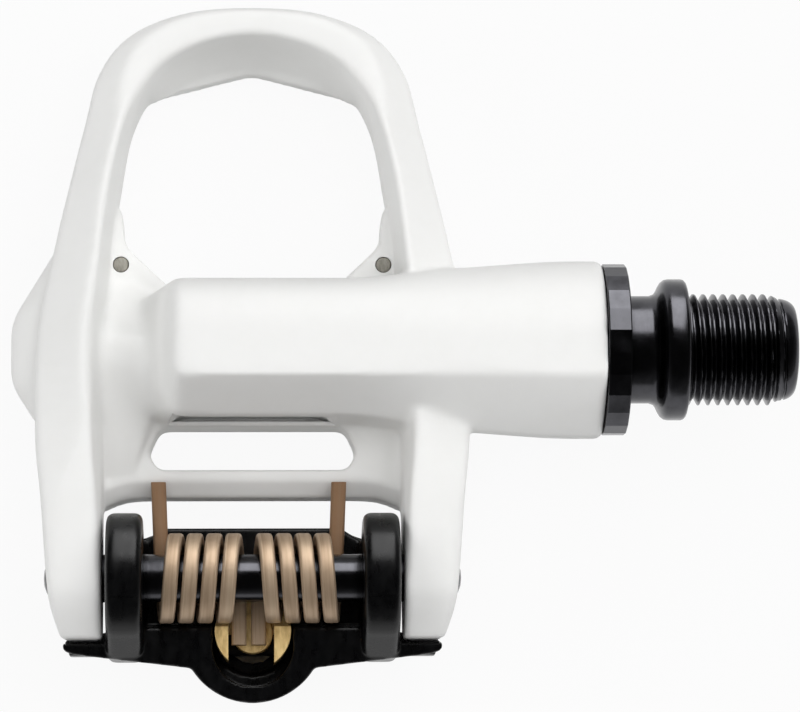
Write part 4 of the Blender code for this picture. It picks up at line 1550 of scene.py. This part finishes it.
@dataclass
class Axle(Assembly):
    """The spindle with its thread, the collar that holds it in the barrel, and the seal."""

    fit: float = 0.0003
    around: int = 96
    collar_from: float = 0.0444
    collar_to: float = 0.0473
    collar_radius: float = 0.0109
    collar_sides: int = 24
    collar_first: float = -4.0
    shank_radius: float = 0.0086
    shank_end: float = 0.0363
    neck_radius: float = 0.00685
    seal_width: float = 0.0012
    seal_wall: float = 0.0011
    flange_from: float = 0.0510
    flange_to: float = 0.0550
    flange_radius: float = 0.0090
    flange_fillet: float = 0.0016
    fillet_curve: tuple[Flat, ...] = (  # shares of the fillet's length, and of the flange's step
        (-0.4, 0.0),
        (0.0, 0.10),
        (0.2, 0.30),
        (0.36, 0.56),
        (0.55, 0.80),
        (0.8, 0.95),
        (1.1, 1.0),
    )
    flange_edge: float = 0.0006
    ring_to: float = 0.0554
    ring_radius: float = 0.0074
    thread_radius: float = 0.0071
    thread_depth: float = 0.00085
    thread_pitch: float = 0.00127
    thread_rows: int = 16  # rows of faces in one pitch
    thread_flat: float = 0.14  # share of the pitch that is crest
    end: float = 0.0690
    end_length: float = 0.0021  # of the rounded end
    end_lead: float = 0.6  # share of it over which the thread runs out before it
    end_radius: float = 0.0065
    end_depth: float = 0.0014
    socket_radius: float = 0.0046
    socket_depth: float = 0.0085
    shaft_radius: float = 0.0049
    journal_from: float = 0.0085
    journal_radius: float = 0.0030
    journal_end: float = -0.0045

    def thread(self, x: float, angle: float) -> float:
        """Radius of the right-hand thread.

        Args:
            x: Place along the spindle.
            angle: Angle round it.

        Returns:
            The radius there, with the rounded end.
        """
        turns = (x - self.ring_to) / self.thread_pitch - angle / (2 * math.pi)
        off_crest = abs(turns - math.floor(turns) - 0.5)
        flank = (off_crest - self.thread_flat / 2) / (0.5 - self.thread_flat)
        radius = self.thread_radius - self.thread_depth * min(max(flank, 0.0), 1.0)
        late = 1.0 - (self.end - x) / self.end_length
        if late > 0:
            return min(radius, self.end_radius - self.end_depth * (1.0 - math.sqrt(max(1.0 - late**2, 0.0))))
        lead = max(1.0 + late / self.end_lead, 0.0)
        return min(radius, self.thread_radius + (self.end_radius - self.thread_radius) * lead)

    def plain(self) -> list[Flat]:
        """Profile of the spindle from its outer end to the thread.

        Returns:
            Points of (place along the spindle, radius).
        """
        fillet, edge = self.flange_fillet, self.fit
        step = self.flange_radius - self.neck_radius
        neck = [
            (self.flange_from + fillet * share, self.neck_radius + step * rise)
            for share, rise in self.fillet_curve
        ]
        rim = [
            (
                self.flange_to - self.flange_edge * (1 - math.sin(a)),
                self.flange_radius - self.flange_edge * (1 - math.cos(a)),
            )
            for a in (0.0, 0.5, 1.05, math.pi / 2)
        ]
        return [
            (self.journal_end, self.journal_radius - edge),
            (self.journal_end + edge, self.journal_radius),
            (self.journal_from, self.journal_radius),
            (self.journal_from, self.shaft_radius - edge),
            (self.journal_from + edge, self.shaft_radius),
            (self.shank_end, self.shaft_radius),
            (self.shank_end, self.neck_radius - edge),
            (self.shank_end + edge, self.neck_radius),
            *neck,
            *rim,
            (self.flange_to, self.ring_radius),
            (self.ring_to - edge / 2, self.ring_radius),
        ]

    def spindle(self) -> Piece:
        """Skin over the spindle's rings, with the thread as a helix and the socket cut.

        Returns:
            The spindle.
        """
        angles = [2 * math.pi * i / self.around for i in range(self.around)]
        rings: list[Ring] = []
        for x, radius in self.plain():
            rings.append([Vector((x, radius * math.cos(a), radius * math.sin(a))) for a in angles])
        rows = round((self.end - self.ring_to) / self.thread_pitch * self.thread_rows)
        for row in range(rows + 1):
            x = self.ring_to + (self.end - self.ring_to) * row / rows
            radii = [self.thread(x, a) for a in angles]
            rings.append([Vector((x, r * math.cos(a), r * math.sin(a))) for a, r in zip(angles, radii)])
        spindle = Bench.skin("spindle_turned", rings)
        start = self.end - self.socket_depth
        socket = Bench.rod("socket", start, self.end + self.fit, self.socket_radius, steps=6)
        lead = [
            (self.end - self.fit, 0.0),
            (self.end - 2 * self.fit, self.socket_radius - 2 * self.fit),
            (self.end + self.fit, self.socket_radius + self.fit),
            (self.end + self.fit, 0.0),
        ]
        return Bench.cut(spindle, socket, Bench.turned("socket_lead", lead))

    def collar(self) -> Piece:
        """Faceted collar with its shank inside the barrel.

        Returns:
            The collar.
        """
        edge = self.fit / 2
        collar = Bench.rod(
            "cage_collar",
            self.collar_from,
            self.collar_to,
            self.collar_radius,
            steps=self.collar_sides,
            first=self.collar_first,
        )
        Bench.bevel(collar, edge, 2, 30.0)
        shank = Bench.rod("shank", self.shank_end, self.collar_from + self.fit, self.shank_radius)
        Bench.fuse(collar, shank)
        bore = self.neck_radius + self.fit
        recess = bore + self.seal_wall + self.fit
        seal_from = self.collar_to - self.seal_width - self.fit
        profile = [
            (self.shank_end - self.fit, 0.0),
            (self.shank_end - self.fit, bore),
            (seal_from, bore),
            (seal_from, recess),
            (self.collar_to - edge, recess),
            (self.collar_to + self.fit, recess + self.fit),
            (self.collar_to + self.fit, 0.0),
        ]
        return Bench.cut(collar, Bench.turned("collar_bore", profile))

    def seal(self) -> Piece:
        """Rubber ring with a raised lip round the neck.

        Returns:
            The seal.
        """
        inner = self.neck_radius + self.fit
        outer = inner + self.seal_wall
        start, stop = self.collar_to - self.seal_width, self.collar_to
        profile = [
            (start, inner + self.fit / 2),
            (start, outer),
            (stop - self.fit, outer),
            (stop - self.fit / 3, outer - self.fit / 3),
            (stop - self.fit, (inner + outer) / 2),
            (stop, inner + self.fit),
            (stop - self.fit / 3, inner),
            (stop - self.fit, inner),
        ]
        return Bench.turned("axle_seal_lip", profile, steps=72)

    def build(self, steel: Finish, rubber: Finish) -> None:
        """Models spindle, collar and seal.

        Args:
            steel: Finish of spindle and collar.
            rubber: Finish of the seal.
        """
        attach(self.place(self.spindle(), steel, ["spindle"], 38.0), Body.AXLE.value)
        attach(self.place(self.collar(), steel, ["cage_nut"], 8.0), Body.PEDAL.value)
        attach(self.place(self.seal(), rubber, ["axle_seal"]), Body.PEDAL.value)


@dataclass
class HiddenSteel(Assembly):
    """Bearings, lock nut and clip, which keep their CAD shapes."""

    nodes: tuple[str, ...] = (
        "needle_shell",
        "needle_cage",
        "bearing_outer_race",
        "ball_cage",
        "bearing_inner_race",
        "lock_washer",
        "lock_nut",
        "screw_clip",
    )

    def build(self, finish: Finish) -> None:
        """Dresses the CAD nodes.

        Args:
            finish: Finish to put on.
        """
        for node in self.nodes:
            finish.dress(bpy.data.objects[node])
            LOG.info("%s: CAD shape in %s", node, finish.name)


@dataclass
class Latch(Assembly):
    """The black jaw at the rear, with ears on the pin, a hook and a boss for the tension screw."""

    fit: float = 0.0003
    running_gap: float = 0.0006
    ear_inner: float = 0.0138
    ear_outer: float = 0.0184
    ear_radius: float = 0.0082
    ear_tail: float = 0.0098
    ear_bevel: float = 0.0009
    jaw_top: float = -0.0063
    jaw_bottom: float = -0.0105
    jaw_front: float = -0.0220
    jaw_front_half: float = 0.0112
    jaw_chamfer: float = 0.0016
    arm_tail: float = 0.0075
    hook_bottom: float = -0.0165
    hook_lip: float = 0.0025
    hook_front: float = -0.0214
    hook_wall_front: float = -0.0250
    hook_wall: float = 0.0040
    hook_half: float = 0.0160
    tail_top: float = -0.0018
    tail_bottom: float = -0.0108
    wing_half: float = 0.0240
    wing_front: float = -0.0371
    wing_rear: float = -0.0384
    root_half: float = 0.0079
    root_rear: float = -0.0403
    boss_radius: float = 0.0091
    boss_bottom: float = -0.0130
    boss_draft: float = 0.0008
    tail_draft: float = 0.0012
    tail_shed: float = 0.0014  # fall of the tail's top towards its rear end
    lip_front: float = -0.0352  # under the body's arms
    lip_top: float = -0.0080
    parting_y: float = -0.0322
    parting: float = 0.00016
    pocket_radius: float = 0.0051
    pocket_shift: float = 0.0019
    pocket_sides: int = 96
    pocket_floor: float = -0.0108
    pocket_step: float = -0.00815
    screw_hole: float = 0.0024
    pin_hole: float = 0.0033
    coil_room: float = 0.00625
    voxel: float = 0.00028
    passes: int = 5
    most_faces: int = 150_000

    def jaw_plate(self) -> Piece:
        """Plate under the springs, from the tail to the jaw's front edge.

        Returns:
            The plate.
        """
        rear = self.datum.pin_y - self.arm_tail
        chamfer = self.jaw_front - self.jaw_chamfer
        half = [
            Vector((self.jaw_front_half, self.jaw_front)),
            Vector((self.ear_inner, chamfer)),
            Vector((self.ear_outer, chamfer)),
            Vector((self.ear_outer, rear)),
        ]
        return Bench.plate("latch_jaw", Draft.mirrored(half), self.jaw_bottom, self.jaw_top)

    def tail(self) -> Piece:
        """Rear plate with its wings and the hollow corners beside the boss.

        Returns:
            The tail.
        """
        half = [
            Vector((self.ear_outer, self.wing_front + self.arm_tail / 3)),
            Vector((self.ear_outer, self.wing_front)),
            Vector((self.wing_half, self.wing_front)),
            Vector((self.wing_half - self.fit, self.wing_rear)),
            Vector((self.root_half, self.root_rear)),
        ]
        ease = [self.fit, self.fit, self.fit, 6 * self.fit, self.fit]
        top = Draft.eased(Draft.mirrored(half), [*ease, *reversed(ease)])
        bottom = [
            Vector((point.x, point.y + (self.tail_draft if point.y < self.wing_front else 0.0)))
            for point in top
        ]
        return Bench.skin("tail", [Draft.lifted(bottom, self.tail_bottom), Draft.lifted(top, self.tail_top)])

    def wing_lip(self) -> Piece:
        """Low strip of the tail that reaches forward under the body's arms.

        Returns:
            The strip.
        """
        outer = self.wing_half - 2 * self.fit
        half = [Vector((outer, self.lip_front)), Vector((outer, self.wing_rear + self.fit))]
        return Bench.plate("wing_lip", Draft.mirrored(half), self.tail_bottom + self.fit, self.lip_top)

    def shed(self) -> Piece:
        """Cutter that slopes the tail's top down to its rear end.

        Returns:
            The cutter.
        """
        top, end = self.tail_top + self.running_gap, self.datum.boss_y - self.boss_radius
        section = [
            (self.wing_front, self.tail_top),
            (self.wing_front, top),
            (end - self.fit, top),
            (end - self.fit, self.tail_top - self.tail_shed),
        ]
        reach = self.wing_half + self.fit
        rings = [[Vector((x, y, z)) for y, z in section] for x in (-reach, reach)]
        return Bench.skin("shed", rings)

    def parting_line(self, side: Side) -> Piece:
        """Cutter for the mould's parting line over one ear.

        Args:
            side: Side of the ear.

        Returns:
            The cutter.
        """
        low = math.sqrt(self.ear_radius**2 - (self.parting_y - self.datum.pin_y) ** 2) - self.parting
        outline = [
            Vector((side.value * x, self.parting_y + y))
            for x, y in (
                (self.ear_inner - self.fit, -self.parting / 2),
                (self.ear_outer + self.fit, -self.parting / 2),
                (self.ear_outer + self.fit, self.parting / 2),
                (self.ear_inner - self.fit, self.parting / 2),
            )
        ]
        return Bench.plate("parting", outline, low, low + self.running_gap)

    def boss(self) -> Piece:
        """Round boss behind the springs, with eased rims.

        Returns:
            The boss.
        """
        edge = 2 * self.fit
        top = self.tail_top - self.fit
        profile = [
            (self.boss_bottom, 0.0),
            (self.boss_bottom, self.boss_radius - self.boss_draft - edge),
            (self.boss_bottom + edge, self.boss_radius - self.boss_draft),
            (top - edge, self.boss_radius),
            (top, self.boss_radius - edge),
            (top, 0.0),
        ]
        return Bench.turned("boss", profile, Axis.UPRIGHT, (0.0, self.datum.boss_y), 96)

    def hook(self) -> list[Piece]:
        """Wall and forward lip that hold the rear of a cleat, on the shoe side.

        Returns:
            Wall and lip.
        """
        rear = self.hook_wall_front - self.hook_wall
        front = self.hook_wall_front
        wall = Draft.mirrored([Vector((self.hook_half, front)), Vector((self.hook_half, rear))])
        lip = [
            Vector((self.jaw_front_half, self.hook_front)),
            Vector((self.hook_half - self.fit, self.hook_front - self.jaw_chamfer)),
            Vector((self.hook_half - self.fit, rear + self.fit)),
        ]
        return [
            Bench.plate("hook_wall", wall, self.hook_bottom, self.jaw_top - self.fit),
            Bench.plate("hook_lip", Draft.mirrored(lip), self.hook_bottom, self.hook_bottom + self.hook_lip),
        ]

    def ear(self, side: Side) -> Piece:
        """Ear round the pin, running down to the tail behind it.

        Args:
            side: Side of the ear.

        Returns:
            The ear.
        """
        pin_y = self.datum.pin_y
        outline = Draft.arc((pin_y, 0.0), self.ear_radius, -60.0, 220.0, 40)
        rear, low = pin_y - self.ear_tail, self.tail_bottom + self.fit
        outline += [Vector((rear, self.tail_top)), Vector((rear, low)), Vector((pin_y, low))]
        rings = [
            [Vector((side.value * x, point.x, point.y)) for point in outline]
            for x in (self.ear_inner, self.ear_outer)
        ]
        return Bench.bevel(Bench.skin("ear", rings), self.ear_bevel, 3, 40.0)

    def pocket(self) -> list[Piece]:
        """Cutters for the nut's pocket, which is longer towards the rear.

        Returns:
            The cutters.
        """
        top = self.tail_top + self.running_gap
        boss_y = self.datum.boss_y
        rear = boss_y - self.pocket_shift
        floor, step, radius = self.pocket_floor, self.pocket_step, self.pocket_radius
        sides = self.pocket_sides
        half_step = 180.0 / sides  # keeps the corners off the boss's own
        return [
            Bench.rod("pocket", floor, top, radius, Axis.UPRIGHT, (0.0, boss_y), sides, half_step),
            Bench.rod("pocket_rear", step, top, radius, Axis.UPRIGHT, (0.0, rear), sides, half_step),
        ]

    def build(self, finish: Finish) -> None:
        """Models the latch and puts it in place of the CAD one.

        Args:
            finish: Finish to put on.
        """
        pin_y, boss_y = self.datum.pin_y, self.datum.boss_y
        inner = self.ear_inner
        room = Bench.rod("coil_room", -inner, inner, self.coil_room, centre=(pin_y, 0.0), steps=96)
        cutters = [room, *self.pocket(), self.shed()]
        shells = [self.jaw_plate(), self.tail(), self.boss()]
        for shell in shells:
            for cutter in cutters:
                Bench.boolean(shell, cutter, Combine.CUT)
        Bench.discard(*cutters)
        ears = [self.ear(side) for side in Side]
        latch = Bench.gather(shells[0], *shells[1:], self.wing_lip(), *self.hook(), *ears)
        Bench.thin(Bench.melt(latch, self.voxel, self.passes), self.most_faces)
        Bench.cut(
            latch,
            Bench.rod("pin_bore", -self.wing_half, self.wing_half, self.pin_hole, centre=(pin_y, 0.0)),
            Bench.rod(
                "screw_hole",
                self.boss_bottom - self.fit,
                self.tail_top,
                self.screw_hole,
                Axis.UPRIGHT,
                (0.0, boss_y),
                48,
            ),
            *(self.parting_line(side) for side in Side),
        )
        latch.name = "latch_moulding"
        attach(self.place(latch, finish, ["latch"], 50.0), Body.JAW.value)


@dataclass
class LatchPin(Assembly):
    """Steel pin that the latch and its springs turn on."""

    radius: float = 0.0030
    end: float = 0.0262
    dome: tuple[Flat, ...] = (
        (0.0, 0.0),
        (0.0001, 0.35),
        (0.0004, 0.62),
        (0.0008, 0.84),
        (0.0012, 0.96),
        (0.0015, 1.0),
    )

    def build(self, finish: Finish) -> None:
        """Models the pin with its domed ends.

        Args:
            finish: Finish to put on.
        """
        half = [(self.end - depth, self.radius * share) for depth, share in self.dome]
        profile = [*half, *((-along, radius) for along, radius in reversed(half))]
        pin = Bench.turned("latch_pin_turned", profile, centre=(self.datum.pin_y, 0.0))
        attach(self.place(pin, finish, ["latch_pin"]), Body.PEDAL.value)


@dataclass
class LatchSprings(Assembly):
    """Two torsion springs of flat wire that hold the latch shut."""

    turns: int = 4
    pitch: float = 0.00243
    per_turn: int = 48
    width: float = 0.0019  # of the wire, along the coil's axis
    depth: float = 0.0018  # of the wire, across it
    corner: float = 0.0004
    coil_radius: float = 0.00475
    inner_leg_x: float = 0.00175
    inner_leg: float = 0.0080
    outer_leg: float = 0.0127
    splay: float = 0.0005
    play: float = 0.0010  # how far the crank-side spring has slid towards the other
    leg_steps: int = 8

    def path(self, side: Side) -> Ring:
        """Middle of the wire, from the outer leg's tip to the inner leg's.

        Args:
            side: The spring's side.

        Returns:
            Points along the wire.
        """
        sign = side.value
        slid = self.play if side is Side.CRANK else 0.0
        start = sign * (self.inner_leg_x + self.turns * self.pitch - slid)
        pin_y, radius = self.datum.pin_y, self.coil_radius
        points: Ring = []
        for step in range(self.leg_steps):
            share = 1 - step / self.leg_steps
            x = start + sign * self.splay * share
            points.append(Vector((x, pin_y + self.outer_leg * share, -radius)))
        for step in range(self.turns * self.per_turn + 1):
            angle = 2 * math.pi * step / self.per_turn
            x = start - sign * self.pitch * step / self.per_turn
            points.append(Vector((x, pin_y - radius * math.sin(angle), -radius * math.cos(angle))))
        for step in range(1, self.leg_steps + 1):
            end = points[-1] if step == 1 else end
            points.append(Vector((end.x, pin_y - self.inner_leg * step / self.leg_steps, -radius)))
        return points

    def wire(self, side: Side) -> Piece:
        """Sweeps the flat wire along its path.

        Args:
            side: Side of the spring.

        Returns:
            The spring.
        """
        path = self.path(side)
        half_width, half_depth = self.width / 2, self.depth / 2
        section = Draft.eased(
            [
                Vector((half_width, half_depth)),
                Vector((-half_width, half_depth)),
                Vector((-half_width, -half_depth)),
                Vector((half_width, -half_depth)),
            ],
            self.corner,
        )
        across = Vector((1.0, 0.0, 0.0))
        rings = []
        for i, point in enumerate(path):
            ahead = path[min(i + 1, len(path) - 1)] - path[max(i - 1, 0)]
            out = ahead.cross(across).normalized()
            rings.append([point + across * place.x + out * place.y for place in section])
        return Bench.skin(f"latch_spring_{side.name.lower()}", rings)

    def build(self, finish: Finish) -> None:
        """Models both springs, which twist between the body and the latch.

        Args:
            finish: Finish to put on.
        """
        for side, node in ((Side.OUTBOARD, "latch_spring_left"), (Side.CRANK, "latch_spring_right")):
            spring = self.place(self.wire(side), finish, [node], 50.0)
            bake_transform(spring)


@dataclass
class TensionSet(Assembly):
    """Brass nut under the springs' inner legs, and the screw that draws it down."""

    fit: float = 0.0003
    nut_radius: float = 0.0048
    nut_bottom: float = -0.00815
    nut_top: float = -0.0022
    floor_top: float = -0.00595
    floor_low: float = -0.0070
    slot_half: float = 0.0029
    slot_shift: float = -0.0002
    stem_radius: float = 0.00255
    edge: float = 0.00025
    coil_room: float = 0.00625
    screw_radius: float = 0.0021
    screw_tip: float = -0.00775
    hole_top: float = -0.0061  # leaves room for the nut's travel
    head_radius: float = 0.0034
    head_bottom: float = -0.0157
    head_top: float = -0.0133
    socket_radius: float = 0.00173
    socket_depth: float = 0.0014

    def nut(self) -> Piece:
        """Round nut with a slot for the legs, two cheeks and a stem in the middle.

        Returns:
            The nut.
        """
        boss_y = self.datum.boss_y
        where = (0.0, boss_y)
        nut = Bench.rod(
            "tension_nut_cheeks", self.nut_bottom, self.nut_top, self.nut_radius, Axis.UPRIGHT, where, 96
        )
        reach = 2 * self.nut_radius
        slot = [
            Vector((self.slot_shift + self.slot_half, boss_y + reach)),
            Vector((self.slot_shift - self.slot_half, boss_y + reach)),
            Vector((self.slot_shift - self.slot_half, boss_y - reach)),
            Vector((self.slot_shift + self.slot_half, boss_y - reach)),
        ]
        room = Bench.rod("coil_room", -reach, reach, self.coil_room, centre=(self.datum.pin_y, 0.0), steps=96)
        open_rear = [Vector((point.x, min(point.y, boss_y))) for point in slot]
        top = self.nut_top + self.fit
        Bench.cut(
            nut,
            Bench.plate("nut_slot", slot, self.floor_low, top),
            Bench.plate("nut_opening", open_rear, self.nut_bottom - self.fit, top),
            room,
        )
        Bench.bevel(nut, self.edge, 2, 35.0)
        stem = Bench.rod("stem", self.nut_bottom, self.floor_top, self.stem_radius, Axis.UPRIGHT, where, 64)
        Bench.bevel(stem, self.edge, 2, 35.0)
        Bench.fuse(nut, stem)
        hole = Bench.rod(
            "nut_hole",
            self.nut_bottom - self.fit,
            self.hole_top,
            self.screw_radius + self.fit / 2,
            Axis.UPRIGHT,
            where,
            48,
        )
        return Bench.cut(nut, hole)

    def screw(self) -> Piece:
        """Screw with a hexagon socket in its head, on the shoe side.

        Returns:
            The screw.
        """
        where = (0.0, self.datum.boss_y)
        edge = self.edge
        profile = [
            (self.head_bottom, 0.0),
            (self.head_bottom, self.head_radius - edge),
            (self.head_bottom + edge, self.head_radius),
            (self.head_top - edge, self.head_radius),
            (self.head_top, self.head_radius - edge),
            (self.head_top, self.screw_radius),
            (self.screw_tip - edge, self.screw_radius),
            (self.screw_tip, self.screw_radius - edge),
            (self.screw_tip, 0.0),
        ]
        screw = Bench.turned("tension_screw_turned", profile, Axis.UPRIGHT, where, 48)
        socket = Bench.rod(
            "screw_socket",
            self.head_bottom - self.fit,
            self.head_bottom + self.socket_depth,
            self.socket_radius,
            Axis.UPRIGHT,
            where,
            6,
        )
        return Bench.cut(screw, socket)

    def build(self, brass: Finish, steel: Finish) -> None:
        """Models nut and screw.

        Args:
            brass: Finish of the nut.
            steel: Finish of the screw.
        """
        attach(self.place(self.nut(), brass, ["tension_nut"], 35.0), Body.SLIDER.value)
        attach(self.place(self.screw(), steel, ["tension_screw"], 35.0), Body.SCREW.value)


@dataclass(frozen=True)
class Panel:
    """A soft lamp panel that faces the pedal."""

    name: str
    direction: Triple  # from the pedal
    distance: float
    size: Flat
    radiance: float
    diffuse: bool = True  # whether it lights dull surfaces
    glossy: bool = True  # whether it shows in glossy ones

    def hang(self, target: Vector) -> None:
        """Hangs the panel and turns it to a point.

        Args:
            target: Point that it faces.
        """
        Bench.clear()
        away = Vector(self.direction).normalized()
        bpy.ops.object.light_add(type="AREA", location=target + away * self.distance)
        lamp = bpy.context.object
        lamp.name = self.name
        lamp.rotation_euler = away.to_track_quat("Z", "Y").to_euler()
        lamp.data.shape = "RECTANGLE"
        lamp.data.size, lamp.data.size_y = self.size
        lamp.data.energy = self.radiance * math.pi * self.size[0] * self.size[1]
        lamp.visible_camera = False
        lamp.visible_diffuse = self.diffuse
        lamp.visible_glossy = self.glossy


@dataclass
class Studio:
    """Plain floor that shows white, soft light from all round, and the photograph's camera."""

    datum: Datum
    floor_size: float = 8.0
    floor_tone: float = 0.60
    floor_roughness: float = 0.9
    floor_glow: float = 0.93  # share of the floor's white that stays under the shadow
    sky_stops: tuple[Flat, ...] = ((0.0, 0.22), (0.3, 0.10), (0.6, 0.03), (1.0, 0.02))  # height and light
    panels: tuple[Panel, ...] = (
        Panel("nose_side_strip", (0.12, 0.83, 0.545), 0.60, (0.36, 0.67), 4.6, diffuse=False),
        Panel("crank_side_key", (0.60, 0.20, 0.77), 0.70, (0.60, 0.60), 1.8, glossy=False),
        Panel("overhead_panel", (0.0, 0.0, 1.0), 0.70, (0.60, 0.60), 1.7, glossy=False),
        Panel("nose_side_fill", (0.20, 0.70, 0.68), 0.60, (0.40, 0.40), 1.5, glossy=False),
        Panel("outboard_fill", (-0.90, -0.05, 0.43), 0.60, (0.40, 0.40), 3.0, glossy=False),
        Panel("crank_fill", (0.93, 0.05, 0.36), 0.60, (0.40, 0.50), 1.0, glossy=False),
        Panel("rear_fill", (0.0, -0.88, 0.47), 0.60, (0.40, 0.40), 1.0, glossy=False),
    )
    camera_offset: Triple = (-0.0030, -0.0816, 0.49343)  # camera, from the pedal's own origin
    aim_offset: Triple = (0.0187, -0.0008, 0.0)
    pixels_per_metre: float = 7870.0  # at the aim

    def floor(self) -> None:
        """Pale floor that the camera sees as white, with the pedal's shadow on it."""
        Bench.clear()
        bpy.ops.mesh.primitive_plane_add(size=self.floor_size)
        floor = Bench.named("studio_floor")
        graph = Graph("studio_floor")
        graph.set("Base Color", (self.floor_tone,) * 3)
        graph.set("Roughness", self.floor_roughness)
        white = graph.node("ShaderNodeEmission")
        path = graph.node("ShaderNodeLightPath")
        seen = graph.node("ShaderNodeMath", operation="MAXIMUM")
        graph.link(path.outputs["Is Camera Ray"], seen.inputs[0])
        graph.link(path.outputs["Is Glossy Ray"], seen.inputs[1])
        also = graph.node("ShaderNodeMath", operation="MAXIMUM")
        graph.link(seen.outputs["Value"], also.inputs[0])
        graph.link(path.outputs["Is Transmission Ray"], also.inputs[1])
        share = graph.node("ShaderNodeMath", operation="MULTIPLY")
        share.inputs[1].default_value = self.floor_glow
        graph.link(also.outputs["Value"], share.inputs[0])
        blend = graph.node("ShaderNodeMixShader")
        graph.link(share.outputs["Value"], blend.inputs["Fac"])
        graph.link(graph.shader.outputs["BSDF"], blend.inputs[1])
        graph.link(white.outputs["Emission"], blend.inputs[2])
        graph.link(blend.outputs["Shader"], graph.tree.nodes["Material Output"].inputs["Surface"])
        floor.data.materials.append(graph.material)

    def sky(self) -> None:
        """Studio room: pale near the floor and dark overhead."""
        world = bpy.data.worlds.new("studio_room")
        world.use_nodes = True
        bpy.context.scene.world = world
        nodes, links = world.node_tree.nodes, world.node_tree.links
        coordinates = nodes.new("ShaderNodeTexCoord")
        split = nodes.new("ShaderNodeSeparateXYZ")
        ramp = nodes.new("ShaderNodeValToRGB")
        elements = ramp.color_ramp.elements
        while len(elements) < len(self.sky_stops):
            elements.new(0.5)
        for element, (height, light) in zip(elements, self.sky_stops):
            element.position = height
            element.color = (light, light, light, 1.0)
        links.new(coordinates.outputs["Generated"], split.inputs["Vector"])
        links.new(split.outputs["Z"], ramp.inputs["Fac"])
        links.new(ramp.outputs["Color"], nodes["Background"].inputs["Color"])

    def camera(self) -> None:
        """Camera at the photograph's place, with its top edge along the nose."""
        Bench.clear()
        place = self.datum.origin + Vector(self.camera_offset)
        look = self.datum.origin + Vector(self.aim_offset) - place
        forward = look.normalized()
        right = (Vector((1.0, 0.0, 0.0)) - forward * forward.x).normalized()
        up = right.cross(forward)
        bpy.ops.object.camera_add(location=place)
        camera = bpy.context.object
        camera.rotation_euler = Matrix((right, up, -forward)).transposed().to_euler()
        camera.data.sensor_fit = "HORIZONTAL"
        camera.data.sensor_width = SENSOR_WIDTH
        camera.data.lens = SENSOR_WIDTH * self.pixels_per_metre * look.length / PHOTO_WIDTH
        camera.data.clip_start = NEAR_CLIP
        bpy.context.scene.camera = camera

    def build(self) -> None:
        """Sets floor, light and camera."""
        bpy.context.scene.view_settings.view_transform = "Standard"
        self.floor()
        self.sky()
        for panel in self.panels:
            panel.hang(self.datum.origin)
        self.camera()


def main() -> None:
    """Builds the dressed pedal in its studio."""
    logging.basicConfig(level=logging.INFO, format="%(name)s: %(message)s", stream=sys.stdout)
    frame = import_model()
    datum = Datum.of(frame)
    white, oxide, composite = MouldedWhite(), BlackOxide(), BlackComposite()
    wire, brass, steel, rubber = DrawnWire(), MachinedBrass(), GroundSteel(), SealRubber()
    worn = WornSteel()
    Studio(datum).build()
    PedalBody(datum).build(white)
    WearPins(datum).build(worn)
    Axle(datum).build(oxide, rubber)
    HiddenSteel(datum).build(steel)
    Latch(datum).build(composite)
    LatchPin(datum).build(oxide)
    LatchSprings(datum).build(wire)
    TensionSet(datum).build(brass, steel)


if __name__ == "__main__":
    main()
